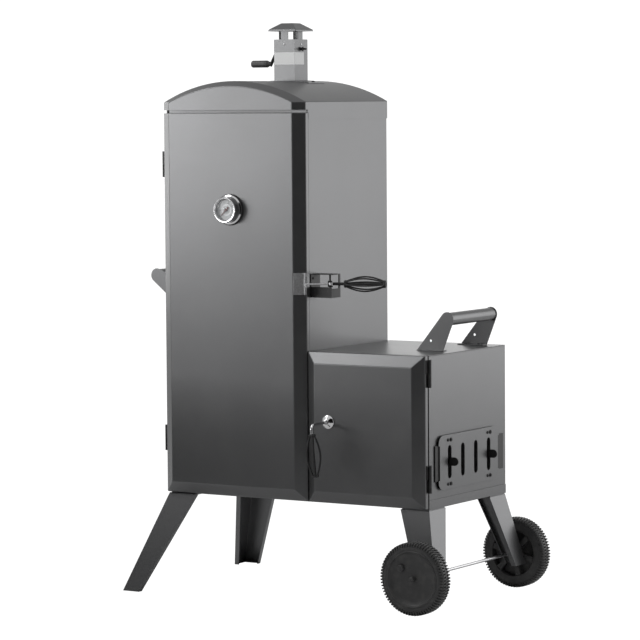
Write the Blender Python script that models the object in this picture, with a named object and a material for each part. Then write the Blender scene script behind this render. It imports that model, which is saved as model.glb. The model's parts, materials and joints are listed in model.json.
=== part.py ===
"""Vertical charcoal smoker: a tall cabinet with an arched roof, a side firebox and two wheels.

Inside the script, x runs right from the left edge of the main door, y runs back from the flat
front face of both doors, and z runs up from the floor.  The empty "smoker_frame" then places
that frame so that the origin is under the middle of the whole smoker.
"""
import math

import bmesh
import bpy
from mathutils import Matrix, Vector

# ---------------------------------------------------------------- driving dimensions, metres
FRAME_X = -0.3985        # left edge of the main door, in the part's frame
FRAME_Y = -0.2140        # flat front face of both doors, in the part's frame

GAP = 0.0003             # air left between pieces that touch
SHEET = 0.0020           # steel sheet
CABINET_W = 0.4490
BODY_FRONT = 0.0360      # where the side panels start, behind the doors
BODY_BACK = 0.4380
BASE_Z = 0.2630          # underside of both boxes
DOOR_Z = 0.2660
MAIN_DOOR_TOP = 1.2860
DOOR_BEVEL = 0.0300      # width of the slanted border of a door
DOOR_BEVEL_DEPTH = 0.0200
DOOR_FLANGE = 0.0120
DOOR_DEPTH = DOOR_BEVEL_DEPTH + DOOR_FLANGE

ROOF_FRONT_Z = 1.2940    # bottom edge of the front fascia
ROOF_SIDE_Z = 1.2680     # bottom edge of the side bands
ROOF_SPRING = 1.3146     # where the arch starts
ROOF_RISE = 0.0560
FASCIA_RISE = 0.0420     # rise of the fascia's flat face, inside its slanted border
ROOF_BACK = 0.4400
ROOF_STEP_Y = 0.0340     # the side bands drop behind this line
ROOF_SHEET = 0.0017

FIREBOX_X0 = 0.4515      # firebox door
FIREBOX_X1 = 0.8056
FIREBOX_TOP = 0.6620
FIREBOX_BACK = 0.4480
PAN_WALL_Z = 0.2870      # top edge of the base pan's wall
SLOT_Y = (0.1345, 0.2042, 0.2739, 0.3436)
SLOT_W = 0.0190
SLOT_Z = (0.3350, 0.4230)
TAB_SETBACK = 0.0012     # the slider's slots sit this far forward of the cover's

FLUE_X = 0.2246
FLUE_Y = 0.3050
FLUE_W = 0.0660
FLUE_TOP = 1.4830
FLUE_BOTTOM = 1.3560
CAP_W = 0.0890
CAP_TOP = 1.5270
DAMPER_Z = 1.4570
CRANK_TILT = math.radians(40)

THERMOMETER = (0.2246, 1.0310)
NEEDLE_REST = math.radians(135)   # a cold needle points to the lower left, this far round from upright
HINGE_R = 0.0045
PIN_R = 0.0020
MAIN_HINGE = (-0.0060, 0.0280)
MAIN_HINGE_Z = ((0.3770, 0.4460), (1.1150, 1.1840))
FIREBOX_HINGE = (0.8112, 0.0330)
FIREBOX_HINGE_Z = ((0.3070, 0.3780), (0.5800, 0.6510))

LATCH_PIVOT = (0.4950, 0.0620, 0.8380)
LATCH_HOOK_PIVOT = (0.5030, 0.0530, 0.8380)
LATCH_HOOK_TIP = (0.4535, 0.0070, 0.8387)
LATCH_SWEEP = math.radians(18)
GRIP_LENGTH = 0.1120
GRIP_R = 0.0220

FIREBOX_HANDLE = (0.5240, 0.4810)
FIREBOX_HANDLE_REACH = 0.0830
FIREBOX_HANDLE_TILT = math.radians(5)

WHEEL_X = 0.8050
WHEEL_R = 0.0950
WHEEL_W = 0.0440
WHEEL_Y = (-0.0350, 0.5110)
AXLE_R = 0.0040

SMOKE_PORT = (0.1500, 0.3300, 0.3450, 0.4550)   # y and z of the hole between firebox and cabinet
RACK_LEVELS = (0.5200, 0.6900, 0.8600, 1.0850)
GRATE_FRONT = 0.0680
GRATE_BACK = 0.4160
GRATE_BARS = 16
LEG_TOP = 0.2600

# ---------------------------------------------------------------- finishes: colour, roughness, metallic
FINISHES = {
    "painted_steel": ((0.105, 0.106, 0.108), 0.42, 0.55),
    "black_steel": ((0.020, 0.020, 0.021), 0.50, 0.30),
    "bright_chrome": ((0.78, 0.78, 0.79), 0.12, 1.0),
    "zinc_steel": ((0.46, 0.46, 0.47), 0.35, 1.0),
    "grate_wire": ((0.50, 0.50, 0.51), 0.25, 1.0),
    "black_plastic": ((0.028, 0.028, 0.029), 0.55, 0.0),
    "dial_face": ((0.72, 0.73, 0.74), 0.45, 0.0),
    "needle_red": ((0.55, 0.05, 0.03), 0.40, 0.0),
    "dial_glass": ((0.92, 0.95, 0.96), 0.03, 0.0),
    "enamel": ((0.030, 0.031, 0.034), 0.22, 0.0),
}


def clear_scene():
    for obj in list(bpy.data.objects):
        bpy.data.objects.remove(obj)


def finish_material(name):
    material = bpy.data.materials.get(name)
    if material:
        return material
    colour, roughness, metallic = FINISHES[name]
    material = bpy.data.materials.new(name)
    material.use_nodes = True
    shader = material.node_tree.nodes["Principled BSDF"]
    shader.inputs["Base Color"].default_value = (*colour, 1.0)
    shader.inputs["Roughness"].default_value = roughness
    shader.inputs["Metallic"].default_value = metallic
    material.diffuse_color = (*colour, 1.0)
    return material


def place(name, bm, finish, origin=(0, 0, 0), smooth=False):
    """Turns a bmesh drawn in the smoker's frame into a named object whose origin is at `origin`."""
    bmesh.ops.translate(bm, verts=bm.verts, vec=-Vector(origin))
    mesh = bpy.data.meshes.new(name)
    bm.to_mesh(mesh)
    bm.free()
    if smooth:
        mesh.shade_smooth()
        mesh.set_sharp_from_angle(angle=math.radians(35))
    mesh.materials.append(finish_material(finish))
    obj = bpy.data.objects.new(name, mesh)
    bpy.context.scene.collection.objects.link(obj)
    obj.parent = FRAME
    obj.location = origin
    return obj


def boolean(obj, other_bm, operation="DIFFERENCE"):
    """Adds an exact Boolean whose second shape is drawn in the smoker's frame."""
    count = sum(m.type == "BOOLEAN" for m in obj.modifiers) + 1
    other = place(f"{obj.name}_tool_{count}", other_bm, "zinc_steel")
    other.hide_render = True
    other.display_type = "WIRE"
    modifier = obj.modifiers.new(f"{operation.lower()}_{count}", "BOOLEAN")
    modifier.operation = operation
    modifier.solver = "EXACT"
    modifier.object = other
    return obj


def solidify(obj, thickness, offset=-1.0):
    modifier = obj.modifiers.new("wall", "SOLIDIFY")
    modifier.thickness = thickness
    modifier.offset = offset
    modifier.use_even_offset = True
    return obj


# ---------------------------------------------------------------- shapes
def box(*extents, bm=None):
    """A box from (x0, x1, y0, y1, z0, z1)."""
    bm = bm or bmesh.new()
    x0, x1, y0, y1, z0, z1 = extents
    size = Matrix.Diagonal((x1 - x0, y1 - y0, z1 - z0, 1))
    centre = Matrix.Translation(((x0 + x1) / 2, (y0 + y1) / 2, (z0 + z1) / 2))
    bmesh.ops.create_cube(bm, size=1, matrix=centre @ size)
    return bm


def loft(sections, bm=None):
    """Bridges closed outlines of equal length and caps both ends."""
    bm = bm or bmesh.new()
    rings = [[bm.verts.new(point) for point in section] for section in sections]
    faces = [bm.faces.new(rings[0]), bm.faces.new(rings[-1])]
    for low, high in zip(rings, rings[1:]):
        for i in range(len(low)):
            j = (i + 1) % len(low)
            faces.append(bm.faces.new((low[i], low[j], high[j], high[i])))
    bmesh.ops.recalc_face_normals(bm, faces=faces)
    return bm


AXES = {"X": lambda a, b, h: (h, a, b), "Y": lambda a, b, h: (a, h, b), "Z": lambda a, b, h: (a, b, h)}


def prism(outline, axis, start, end, bm=None):
    """Extrudes a flat outline along X, Y or Z."""
    to_space = AXES[axis]
    return loft([[to_space(a, b, h) for a, b in outline] for h in (start, end)], bm)


def arc(centre, radius, start, end, steps):
    """Points of an arc, angles in degrees."""
    angles = [math.radians(start + (end - start) * i / steps) for i in range(steps + 1)]
    return [(centre[0] + radius * math.cos(a), centre[1] + radius * math.sin(a)) for a in angles]


def turned(profile, centre, direction, sides=32, bm=None):
    """Revolves (radius, distance) pairs about an axis; a profile that leaves the axis closes on itself."""
    bm = bm or bmesh.new()
    turn = Vector((0, 0, 1)).rotation_difference(Vector(direction)).to_matrix()
    centre = Vector(centre)

    def ring(radius, distance):
        if radius == 0:
            return [bm.verts.new(centre + turn @ Vector((0, 0, distance)))]
        angles = [2 * math.pi * i / sides for i in range(sides)]
        return [
            bm.verts.new(centre + turn @ Vector((radius * math.cos(a), radius * math.sin(a), distance)))
            for a in angles
        ]

    rings = [ring(*point) for point in profile]
    pairs = list(zip(rings, rings[1:]))
    if profile[0][0] > 0:
        pairs.append((rings[-1], rings[0]))
    faces = []
    for low, high in pairs:
        for i in range(sides):
            j = (i + 1) % sides
            corners = [low[i % len(low)], low[j % len(low)], high[j % len(high)], high[i % len(high)]]
            faces.append(bm.faces.new(list(dict.fromkeys(corners))))
    bmesh.ops.recalc_face_normals(bm, faces=faces)
    return bm


def cylinder(centre, direction, radius, start, end, sides=24, bm=None):
    return turned([(0, start), (radius, start), (radius, end), (0, end)], centre, direction, sides, bm)


def tube_along(points, radius, sides=10, bm=None):
    """A round bar along a path, closed at both ends."""
    points = [Vector(p) for p in points]
    side = Vector((1, 0, 0))
    sections = []
    for i, point in enumerate(points):
        before = points[max(i - 1, 0)]
        after = points[min(i + 1, len(points) - 1)]
        forward = (after - before).normalized()
        side = (side - forward * side.dot(forward)).normalized()
        up = forward.cross(side)
        ring = []
        for k in range(sides):
            angle = 2 * math.pi * k / sides
            ring.append(point + (side * math.cos(angle) + up * math.sin(angle)) * radius)
        sections.append(ring)
    return loft(sections, bm)


def slots(centres, width, low, high, axis_range, end_steps=4):
    """Round-ended upright slots through a panel that faces +X, as one cutter."""
    bm = bmesh.new()
    radius = width / 2
    for y in centres:
        outline = arc((y, low + radius), radius, 180, 360, end_steps)
        outline += arc((y, high - radius), radius, 0, 180, end_steps)
        prism(outline, "X", *axis_range, bm=bm)
    return bm


# ---------------------------------------------------------------- doors
def door_sheet(x0, x1, z0, z1, top_border):
    """The open sheet of a pressed door: flat face, slanted border and flange."""
    bm = bmesh.new()

    def ring(inset, y):
        top = z1 - min(inset, top_border)
        corners = ((x0 + inset, z0 + inset), (x1 - inset, z0 + inset), (x1 - inset, top), (x0 + inset, top))
        return [bm.verts.new((x, y, z)) for x, z in corners]

    face = ring(DOOR_BEVEL, 0)
    shoulder = ring(0, DOOR_BEVEL_DEPTH)
    rim = ring(0, DOOR_DEPTH)
    bm.faces.new(face)
    for inner, outer in ((face, shoulder), (shoulder, rim)):
        for i in range(4):
            j = (i + 1) % 4
            bm.faces.new((inner[j], inner[i], outer[i], outer[j]))
    return bm


def build_main_door():
    hinge = (*MAIN_HINGE, DOOR_Z)
    sheet = door_sheet(0, CABINET_W, DOOR_Z, MAIN_DOOR_TOP, 0)
    door = place("main_door", sheet, "painted_steel", hinge)
    solidify(door, SHEET)
    x, z = THERMOMETER
    boolean(door, cylinder((x, 0, z), (0, 1, 0), 0.0065, -0.010, 0.010))

    slope = Vector((DOOR_BEVEL, DOOR_BEVEL_DEPTH)).normalized()
    outward = Vector((slope.y, -slope.x))
    edge = Vector((CABINET_W, DOOR_BEVEL_DEPTH)) + outward * GAP
    start = edge - slope * 0.0345
    thickness = outward * 0.0018
    lip = edge - slope * 0.0045
    outline = [start, edge - slope * 0.001, edge - slope * 0.001 + thickness, lip + thickness]
    outline += [lip + outward * 0.0085, lip - slope * 0.0022 + outward * 0.0085]
    outline += [lip - slope * 0.0022 + thickness, start + thickness]
    place("door_strike", prism(outline, "Z", 0.8105, 0.8675), "zinc_steel", hinge)


def build_thermometer():
    x, z = THERMOMETER
    centre = (x, -GAP, z)
    hinge = (*MAIN_HINGE, DOOR_Z)
    case = [(0, -0.118), (0.0030, -0.116), (0.0030, -0.012), (0.0058, -0.010), (0.0058, 0), (0.0415, 0)]
    case += [(0.0415, 0.0035), (0.0385, 0.0070), (0.0345, 0.0220), (0.0325, 0.0285), (0.0310, 0.0300)]
    case += [(0.0288, 0.0285), (0.0285, 0.0060), (0, 0.0060)]
    place("thermometer_case", turned(case, centre, (0, -1, 0), 40), "bright_chrome", hinge, True)
    dial = [(0, 0.0063), (0.0270, 0.0063), (0.0278, 0.0170), (0.0278, 0.0185), (0, 0.0185)]
    place("thermometer_dial", turned(dial, centre, (0, -1, 0), 40), "dial_face", hinge, True)
    lens = [(0, 0.0250), (0.0279, 0.0250), (0.0279, 0.0262), (0.0200, 0.0272), (0, 0.0276)]
    place("thermometer_lens", turned(lens, centre, (0, -1, 0), 40), "dial_glass", hinge, True)

    outline = []
    for across, along in ((-0.0010, 0.0210), (-0.0022, -0.0100), (0.0022, -0.0100), (0.0010, 0.0210)):
        turn_x = across * math.cos(NEEDLE_REST) - along * math.sin(NEEDLE_REST)
        turn_z = across * math.sin(NEEDLE_REST) + along * math.cos(NEEDLE_REST)
        outline.append((x + turn_x, z + turn_z))
    needle = prism(outline, "Y", -0.0215, -0.0205)
    needle = place("thermometer_needle", needle, "needle_red", (x, -0.021, z))
    boolean(needle, cylinder((x, 0, z), (0, -1, 0), 0.0040, 0.0198, 0.0222, 16), "UNION")


def hinge_pair(name, axis, span, leaf, pad, wing):
    """One hinge: the fixed leaf carries the lower knuckle and the pin, the door leaf the upper one.

    `leaf`, `pad` and `wing` are the (x0, x1, y0, y1) of the fixed leaf, of the plate that fastens
    it to the body, and of the door's leaf.
    """
    low, high = span
    middle = (low + high) / 2
    centre = (*axis, 0)
    fixed = place(f"{name}_fixed", box(*leaf, low, middle - GAP), "black_steel")
    boolean(fixed, cylinder(centre, (0, 0, 1), HINGE_R, low, middle - GAP, 16), "UNION")
    boolean(fixed, cylinder(centre, (0, 0, 1), PIN_R, low + 0.002, high - 0.002, 12), "UNION")
    boolean(fixed, box(*pad, low, high), "UNION")

    moving = place(f"{name}_moving", box(*wing, middle, high), "black_steel", (*axis, middle))
    boolean(moving, cylinder(centre, (0, 0, 1), HINGE_R, middle, high, 16), "UNION")
    boolean(moving, cylinder(centre, (0, 0, 1), PIN_R + 0.0004, middle - 0.004, high + 0.004, 12))


def build_hinges():
    wing_front, pad_front = 0.0215, 0.0380
    knuckle_y = MAIN_HINGE[1]
    for label, span in zip(("lower", "upper"), MAIN_HINGE_Z):
        leaf = (-0.0023, -GAP, knuckle_y, 0.0420)
        pad = (-0.0023, 0.0017, pad_front, 0.0620)
        wing = (-0.0040, -GAP, wing_front, knuckle_y)
        hinge_pair(f"main_hinge_{label}", MAIN_HINGE, span, leaf, pad, wing)
    knuckle_y = FIREBOX_HINGE[1]
    plate = (FIREBOX_X1 + GAP, FIREBOX_X1 + 0.0025)
    for label, span in zip(("lower", "upper"), FIREBOX_HINGE_Z):
        leaf = (*plate, knuckle_y, 0.0480)
        pad = (*plate, pad_front, 0.0480)
        wing = (*plate, wing_front, knuckle_y)
        hinge_pair(f"firebox_hinge_{label}", FIREBOX_HINGE, span, leaf, pad, wing)


# ---------------------------------------------------------------- cabinet
def arch(inset, rise, steps=20):
    """(x, z) points of an arch from left to right, its feet `inset` in from the cabinet's sides."""
    half = CABINET_W / 2 - inset
    radius = (half ** 2 + rise ** 2) / (2 * rise)
    centre_z = ROOF_SPRING + rise - radius
    limit = math.asin(half / radius)
    angles = [-limit + 2 * limit * i / steps for i in range(steps + 1)]
    return [(CABINET_W / 2 + radius * math.sin(a), centre_z + radius * math.cos(a)) for a in angles]


def arch_height(x):
    half = CABINET_W / 2
    radius = (half ** 2 + ROOF_RISE ** 2) / (2 * ROOF_RISE)
    return ROOF_SPRING + ROOF_RISE - radius + math.sqrt(radius ** 2 - (x - half) ** 2)


def build_cabinet():
    left, right = 0.0020, CABINET_W - 0.0020
    top = 1.3080
    inner = (left + SHEET + GAP, right - SHEET - GAP)
    panel = box(left, left + SHEET, BODY_FRONT, BODY_BACK - GAP, DOOR_Z, top)
    place("cabinet_left_panel", panel, "painted_steel")
    panel = box(right - SHEET, right, BODY_FRONT, BODY_BACK - GAP, DOOR_Z, top)
    panel = place("cabinet_right_panel", panel, "painted_steel")
    boolean(panel, box(right - 0.010, right + 0.010, *SMOKE_PORT))
    panel = box(*inner, BODY_BACK - SHEET - GAP, BODY_BACK - GAP, DOOR_Z, top)
    place("cabinet_back_panel", panel, "painted_steel")
    floor = box(left, right, BODY_FRONT, BODY_BACK, BASE_Z, BASE_Z + 0.0025)
    place("cabinet_floor", floor, "painted_steel")

    outline = [(inner[1], DOOR_Z), (inner[0], DOOR_Z), *arch(0.0065, ROOF_RISE - 0.0065)]
    frame = prism(outline, "Y", BODY_FRONT + 0.0005, BODY_FRONT + 0.0025)
    frame = place("cabinet_door_frame", frame, "painted_steel")
    boolean(frame, box(0.032, CABINET_W - 0.032, 0.02, 0.06, 0.296, 1.258))


def roof_sheet():
    """The roof cap as one open sheet, from the front fascia over the arch to the back."""
    bm = bmesh.new()

    def outline(y, inset=0, rise=ROOF_RISE):
        ends = ((inset, ROOF_FRONT_Z), (CABINET_W - inset, ROOF_FRONT_Z))
        points = [ends[0], *arch(inset, rise), ends[1]]
        return [bm.verts.new((x, y, z)) for x, z in points]

    front = outline(0, DOOR_BEVEL, FASCIA_RISE)
    shoulder, step, back = (outline(y) for y in (DOOR_BEVEL_DEPTH, ROOF_STEP_Y, ROOF_BACK))
    bm.faces.new(front[::-1])
    for near, far in ((front, shoulder), (shoulder, step), (step, back)):
        for i in range(len(near) - 1):
            bm.faces.new((near[i], near[i + 1], far[i + 1], far[i]))
    low_step = [bm.verts.new((x, ROOF_STEP_Y, ROOF_SIDE_Z)) for x in (0, CABINET_W)]
    low_back = [bm.verts.new((x, ROOF_BACK, ROOF_SIDE_Z)) for x in (0, CABINET_W)]
    bm.faces.new((low_step[0], step[0], back[0], low_back[0]))
    bm.faces.new((step[-1], low_step[1], low_back[1], back[-1]))
    bm.faces.new([low_back[0], *back, low_back[1]])
    bmesh.ops.recalc_face_normals(bm, faces=bm.faces)
    return bm


def build_roof():
    roof = solidify(place("roof_cap", roof_sheet(), "painted_steel", smooth=True), ROOF_SHEET)
    half = FLUE_W / 2 + 0.0004
    hole = box(FLUE_X - half, FLUE_X + half, FLUE_Y - half, FLUE_Y + half, 1.340, 1.400)
    boolean(roof, hole)


def build_racks():
    """Ledges on both walls, wire-grate plates and the water pan."""
    left, right = 0.0043, CABINET_W - 0.0043
    low, high = RACK_LEVELS[0] - 0.060, RACK_LEVELS[-1] + 0.030
    for name, wall, sign in (("rack_left", left, 1), ("rack_right", right, -1)):
        web = wall + sign * 0.0018
        outline = [(wall, low), (web, low)]
        for level in RACK_LEVELS:
            ledge = wall + sign * 0.0240
            outline += [(web, level - 0.0018), (ledge, level - 0.0018), (ledge, level), (web, level)]
        outline += [(web, high), (wall, high)]
        place(name, prism(outline, "Y", 0.060, 0.420), "painted_steel")

    x0, x1 = 0.0090, CABINET_W - 0.0090
    for label, level in zip(("lower", "middle", "upper"), RACK_LEVELS[1:]):
        plate = box(x0, x1, GRATE_FRONT, GRATE_BACK, level + GAP, level + 0.0053)
        grate = place(f"cooking_grate_{label}", plate, "grate_wire")
        cutter = bmesh.new()
        border = 0.006
        pitch = (x1 - x0 - 2 * border) / GRATE_BARS
        for i in range(GRATE_BARS):
            start = x0 + border + pitch * i
            ends = (start + 0.003, start + pitch - 0.003, GRATE_FRONT + border, GRATE_BACK - border)
            box(*ends, level - 0.01, level + 0.02, bm=cutter)
        boolean(grate, cutter)

    bm = bmesh.new()
    level = RACK_LEVELS[0] + GAP + 0.0022

    def ring(inset_x, inset_y, z):
        corners = ((x0 + inset_x, 0.080 + inset_y), (x1 - inset_x, 0.080 + inset_y),
                   (x1 - inset_x, 0.400 - inset_y), (x0 + inset_x, 0.400 - inset_y))
        return [bm.verts.new((x, y, z)) for x, y in corners]

    rings = [ring(0, 0, level), ring(0.032, 0.022, level), ring(0.055, 0.045, level - 0.052)]
    for outer, inner in zip(rings, rings[1:]):
        for i in range(4):
            j = (i + 1) % 4
            bm.faces.new((outer[i], outer[j], inner[j], inner[i]))
    bm.faces.new(rings[-1])
    solidify(place("water_pan", bm, "enamel"), 0.0015)


# ---------------------------------------------------------------- chimney
def build_chimney():
    half = FLUE_W / 2
    wall = 0.0015
    sides = (FLUE_X - half, FLUE_X + half, FLUE_Y - half, FLUE_Y + half)
    flue = place("flue", box(*sides, FLUE_BOTTOM, FLUE_TOP), "painted_steel")
    reach = 0.0820
    xs = [FLUE_X - reach + reach * i / 4 for i in range(9)]
    low = [(x, arch_height(x) + 0.0004) for x in xs]
    high = [(x, arch_height(x) + 0.0026) for x in reversed(xs)]
    boolean(flue, prism(low + high, "Y", FLUE_Y - 0.041, FLUE_Y + 0.041), "UNION")
    inner = (sides[0] + wall, sides[1] - wall, sides[2] + wall, sides[3] - wall)
    boolean(flue, box(*inner, FLUE_BOTTOM - 0.02, FLUE_TOP + 0.02))
    boolean(flue, cylinder((FLUE_X, FLUE_Y, DAMPER_Z), (1, 0, 0), 0.0030, -0.05, 0.05, 16))

    bm = bmesh.new()

    def ring(half_width, z):
        corners = ((-1, -1), (1, -1), (1, 1), (-1, 1))
        return [bm.verts.new((FLUE_X + a * half_width, FLUE_Y + b * half_width, z)) for a, b in corners]

    eave, shoulder, crown = ring(CAP_W / 2, 1.5050), ring(CAP_W / 2, 1.5095), ring(0.0190, CAP_TOP)
    for lower, upper in ((eave, shoulder), (shoulder, crown)):
        for i in range(4):
            j = (i + 1) % 4
            bm.faces.new((lower[i], lower[j], upper[j], upper[i]))
    bm.faces.new(crown)
    cap = solidify(place("rain_cap", bm, "painted_steel"), 0.0015)
    out, thick, wide = half - wall - GAP, 0.0013, 0.0115
    for a, b in ((0, -1), (1, 0), (0, 1), (-1, 0)):
        x, y = FLUE_X + a * (out - thick / 2), FLUE_Y + b * (out - thick / 2)
        dx, dy = (thick / 2, wide) if a else (wide, thick / 2)
        boolean(cap, box(x - dx, x + dx, y - dy, y + dy, 1.4630, 1.5178), "UNION")


def build_chimney_damper():
    pivot = (FLUE_X, FLUE_Y, DAMPER_Z)
    down = Vector((0, -math.sin(CRANK_TILT), -math.cos(CRANK_TILT)))
    across = Vector((0, -down.z, down.y))
    half = 0.0280
    corners = []
    for side, lift in ((-1, -1), (1, -1), (1, 1), (-1, 1)):
        corners.append(Vector(pivot) + down * half * side + across * 0.0008 * lift)
    flap = prism([(c.y, c.z) for c in corners], "X", FLUE_X - half, FLUE_X + half)
    flap = place("chimney_damper", flap, "black_steel", pivot)
    shaft_left, shaft_right = -0.0420, 0.0500
    boolean(flap, cylinder(pivot, (1, 0, 0), 0.0026, shaft_left, shaft_right, 12), "UNION")
    boolean(flap, cylinder(pivot, (1, 0, 0), 0.0060, 0.0360, 0.0400, 6), "UNION")
    arm_x = FLUE_X + shaft_left
    end = Vector(pivot) + down * 0.0580
    start = Vector(pivot) - down * 0.005
    outline = []
    for point, side in ((start, -1), (start, 1), (end, 1), (end, -1)):
        corner = point + across * 0.0048 * side
        outline.append((corner.y, corner.z))
    boolean(flap, prism(outline, "X", arm_x - 0.0015, arm_x + 0.0020), "UNION")

    grip_centre = (arm_x, end.y + down.y * -0.006, end.z + down.z * -0.006)
    grip = [(0, 0.0018), (0.0060, 0.0018), (0.0096, 0.0100), (0.0096, 0.0590), (0.0080, 0.0615), (0, 0.0615)]
    place("damper_grip", turned(grip, grip_centre, (-1, 0, 0), 20), "black_plastic", pivot, True)


# ---------------------------------------------------------------- latch and grips
def grip_profile():
    """Outer shape of a caged grip: a collar at each end and a bulge between them."""
    collar, neck, ends = 0.0105, 0.0090, 0.0060
    profile = [(0, 0), (collar - 0.0005, 0), (collar, ends - 0.0010)]
    steps = 8
    for i in range(1, steps):
        bulge = (GRIP_R - neck) * math.sin(math.pi * i / steps)
        profile.append((neck + bulge, ends + (GRIP_LENGTH - 2 * ends) * i / steps))
    return profile + [(collar, GRIP_LENGTH - ends + 0.0010), (collar - 0.0005, GRIP_LENGTH), (0, GRIP_LENGTH)]


def build_latch():
    x, y, z = LATCH_PIVOT
    wall = CABINET_W - 0.0020 + GAP
    bracket = place("latch_bracket", box(wall, wall + 0.002, 0.041, 0.086, 0.802, 0.864), "black_steel")
    boolean(bracket, box(wall, 0.512, 0.041, 0.043, 0.802, 0.830), "UNION")
    boolean(bracket, box(wall, 0.512, 0.041, 0.086, 0.802, 0.804), "UNION")
    boolean(bracket, box(0.510, 0.512, 0.041, 0.086, 0.802, 0.826), "UNION")
    boolean(bracket, box(0.510, 0.512, 0.078, 0.086, 0.820, 0.864), "UNION")
    boolean(bracket, box(wall, 0.512, 0.050, 0.086, 0.862, 0.864), "UNION")
    boolean(bracket, cylinder((x, y, 0), (0, 0, 1), 0.0025, 0.803, 0.863, 16), "UNION")

    forward = Vector((math.cos(LATCH_SWEEP), math.sin(LATCH_SWEEP), 0))
    hub = cylinder((x, y, z), (0, 0, 1), 0.0060, -0.0080, 0.0080, 20)
    lever = place("latch_lever", hub, "black_steel", LATCH_PIVOT)
    grip_start = 0.0380
    boolean(lever, cylinder((x, y, z), forward, 0.0040, 0.0030, grip_start, 14), "UNION")
    hook_x, hook_y, hook_z = LATCH_HOOK_PIVOT
    reach = Vector((hook_x - x, hook_y - y, 0))
    width = Vector((-reach.y, reach.x, 0)).normalized() * 0.0042
    start, end = Vector((x, y, 0)), Vector((hook_x, hook_y, 0)) + reach.normalized() * 0.003
    plate = [tuple(p.xy) for p in (start - width, end - width, end + width, start + width)]
    boolean(lever, prism(plate, "Z", z - 0.0080, z - 0.0040), "UNION")
    boolean(lever, cylinder((hook_x, hook_y, 0), (0, 0, 1), 0.0018, z - 0.006, z + 0.0065, 12), "UNION")
    boolean(lever, cylinder((x, y, z), (0, 0, 1), 0.00258, -0.0120, 0.0120, 24))
    grip = turned(grip_profile(), LATCH_PIVOT, forward, 20)
    bmesh.ops.translate(grip, verts=grip.verts, vec=forward * (grip_start + GAP))
    place("latch_grip", grip, "black_steel", LATCH_PIVOT, True)

    eye = cylinder((hook_x, hook_y, z), (0, 0, 1), 0.0048, -0.0030, 0.0040, 16)
    hook = place("latch_hook", eye, "zinc_steel", LATCH_HOOK_PIVOT)
    tip = Vector(LATCH_HOOK_TIP)
    root = Vector((hook_x, hook_y, tip.z))
    run = (tip - root).normalized()
    bend, end = Vector((0, 0, -0.003)), Vector((0.0005, 0, -0.009))
    rod = [root + run * 0.003, tip, tip + run * 0.002 + bend, tip + end]
    boolean(hook, tube_along(rod, 0.0022, 10), "UNION")
    boolean(hook, cylinder((hook_x, hook_y, z), (0, 0, 1), 0.0019, -0.0100, 0.0100, 16))


# ---------------------------------------------------------------- firebox
def build_firebox():
    wall = 0.0020
    outer_x = FIREBOX_X1
    left = CABINET_W - 0.0020 + GAP
    pan_x1 = outer_x + 0.0010
    pan = box(left, pan_x1, BODY_FRONT + 0.0003, FIREBOX_BACK + 0.0010, BASE_Z, PAN_WALL_Z)
    pan = place("firebox_base_pan", pan, "painted_steel")
    cavity = box(left + wall, pan_x1 - wall, BODY_FRONT + wall, FIREBOX_BACK + 0.0010 - wall,
                 BASE_Z + 0.0025, PAN_WALL_Z + 0.010)
    boolean(pan, cavity)

    low = PAN_WALL_Z + GAP
    high = FIREBOX_TOP - wall - GAP
    panel = box(outer_x - wall, outer_x, BODY_FRONT + 0.002, FIREBOX_BACK - GAP, low, high)
    panel = place("firebox_right_panel", panel, "painted_steel")
    boolean(panel, slots(SLOT_Y, SLOT_W, *SLOT_Z, (outer_x - 0.010, outer_x + 0.010)))
    inner_x = outer_x - wall - GAP
    panel = box(left, inner_x, FIREBOX_BACK - wall - GAP, FIREBOX_BACK - GAP, low, high)
    place("firebox_back_panel", panel, "painted_steel")
    top = box(left, outer_x, BODY_FRONT + 0.002, FIREBOX_BACK, FIREBOX_TOP - wall, FIREBOX_TOP)
    place("firebox_top", top, "painted_steel")
    frame = box(left, inner_x, BODY_FRONT + 0.0023, BODY_FRONT + 0.0043, low, high)
    frame = place("firebox_door_frame", frame, "painted_steel")
    boolean(frame, box(0.4740, 0.7790, 0.0200, 0.0600, 0.3100, 0.6360))

    grate = box(0.4520, 0.7980, 0.0600, 0.4300, 0.3300, 0.3340)
    grate = place("charcoal_grate", grate, "black_steel")
    for x in (0.4520, 0.7955):
        boolean(grate, box(x, x + 0.0025, 0.0600, 0.4300, BASE_Z + 0.0028, 0.3320), "UNION")
    cutter = bmesh.new()
    count = 12
    pitch = 0.330 / count
    for i in range(count):
        start = 0.4600 + pitch * i
        box(start + 0.004, start + pitch - 0.004, 0.070, 0.420, 0.320, 0.340, bm=cutter)
    boolean(grate, cutter)

    bm = bmesh.new()
    z0, z1 = BASE_Z + 0.0028, 0.3020

    def ring(inset, z):
        corners = ((0.4650 + inset, 0.0700 + inset), (0.7850 - inset, 0.0700 + inset),
                   (0.7850 - inset, 0.4200 - inset), (0.4650 + inset, 0.4200 - inset))
        return [bm.verts.new((x, y, z)) for x, y in corners]

    rim, bottom = ring(0, z1), ring(0.010, z0)
    bm.faces.new(bottom[::-1])
    for i in range(4):
        j = (i + 1) % 4
        bm.faces.new((bottom[i], bottom[j], rim[j], rim[i]))
    solidify(place("ash_pan", bm, "black_steel"), 0.0012)


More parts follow.
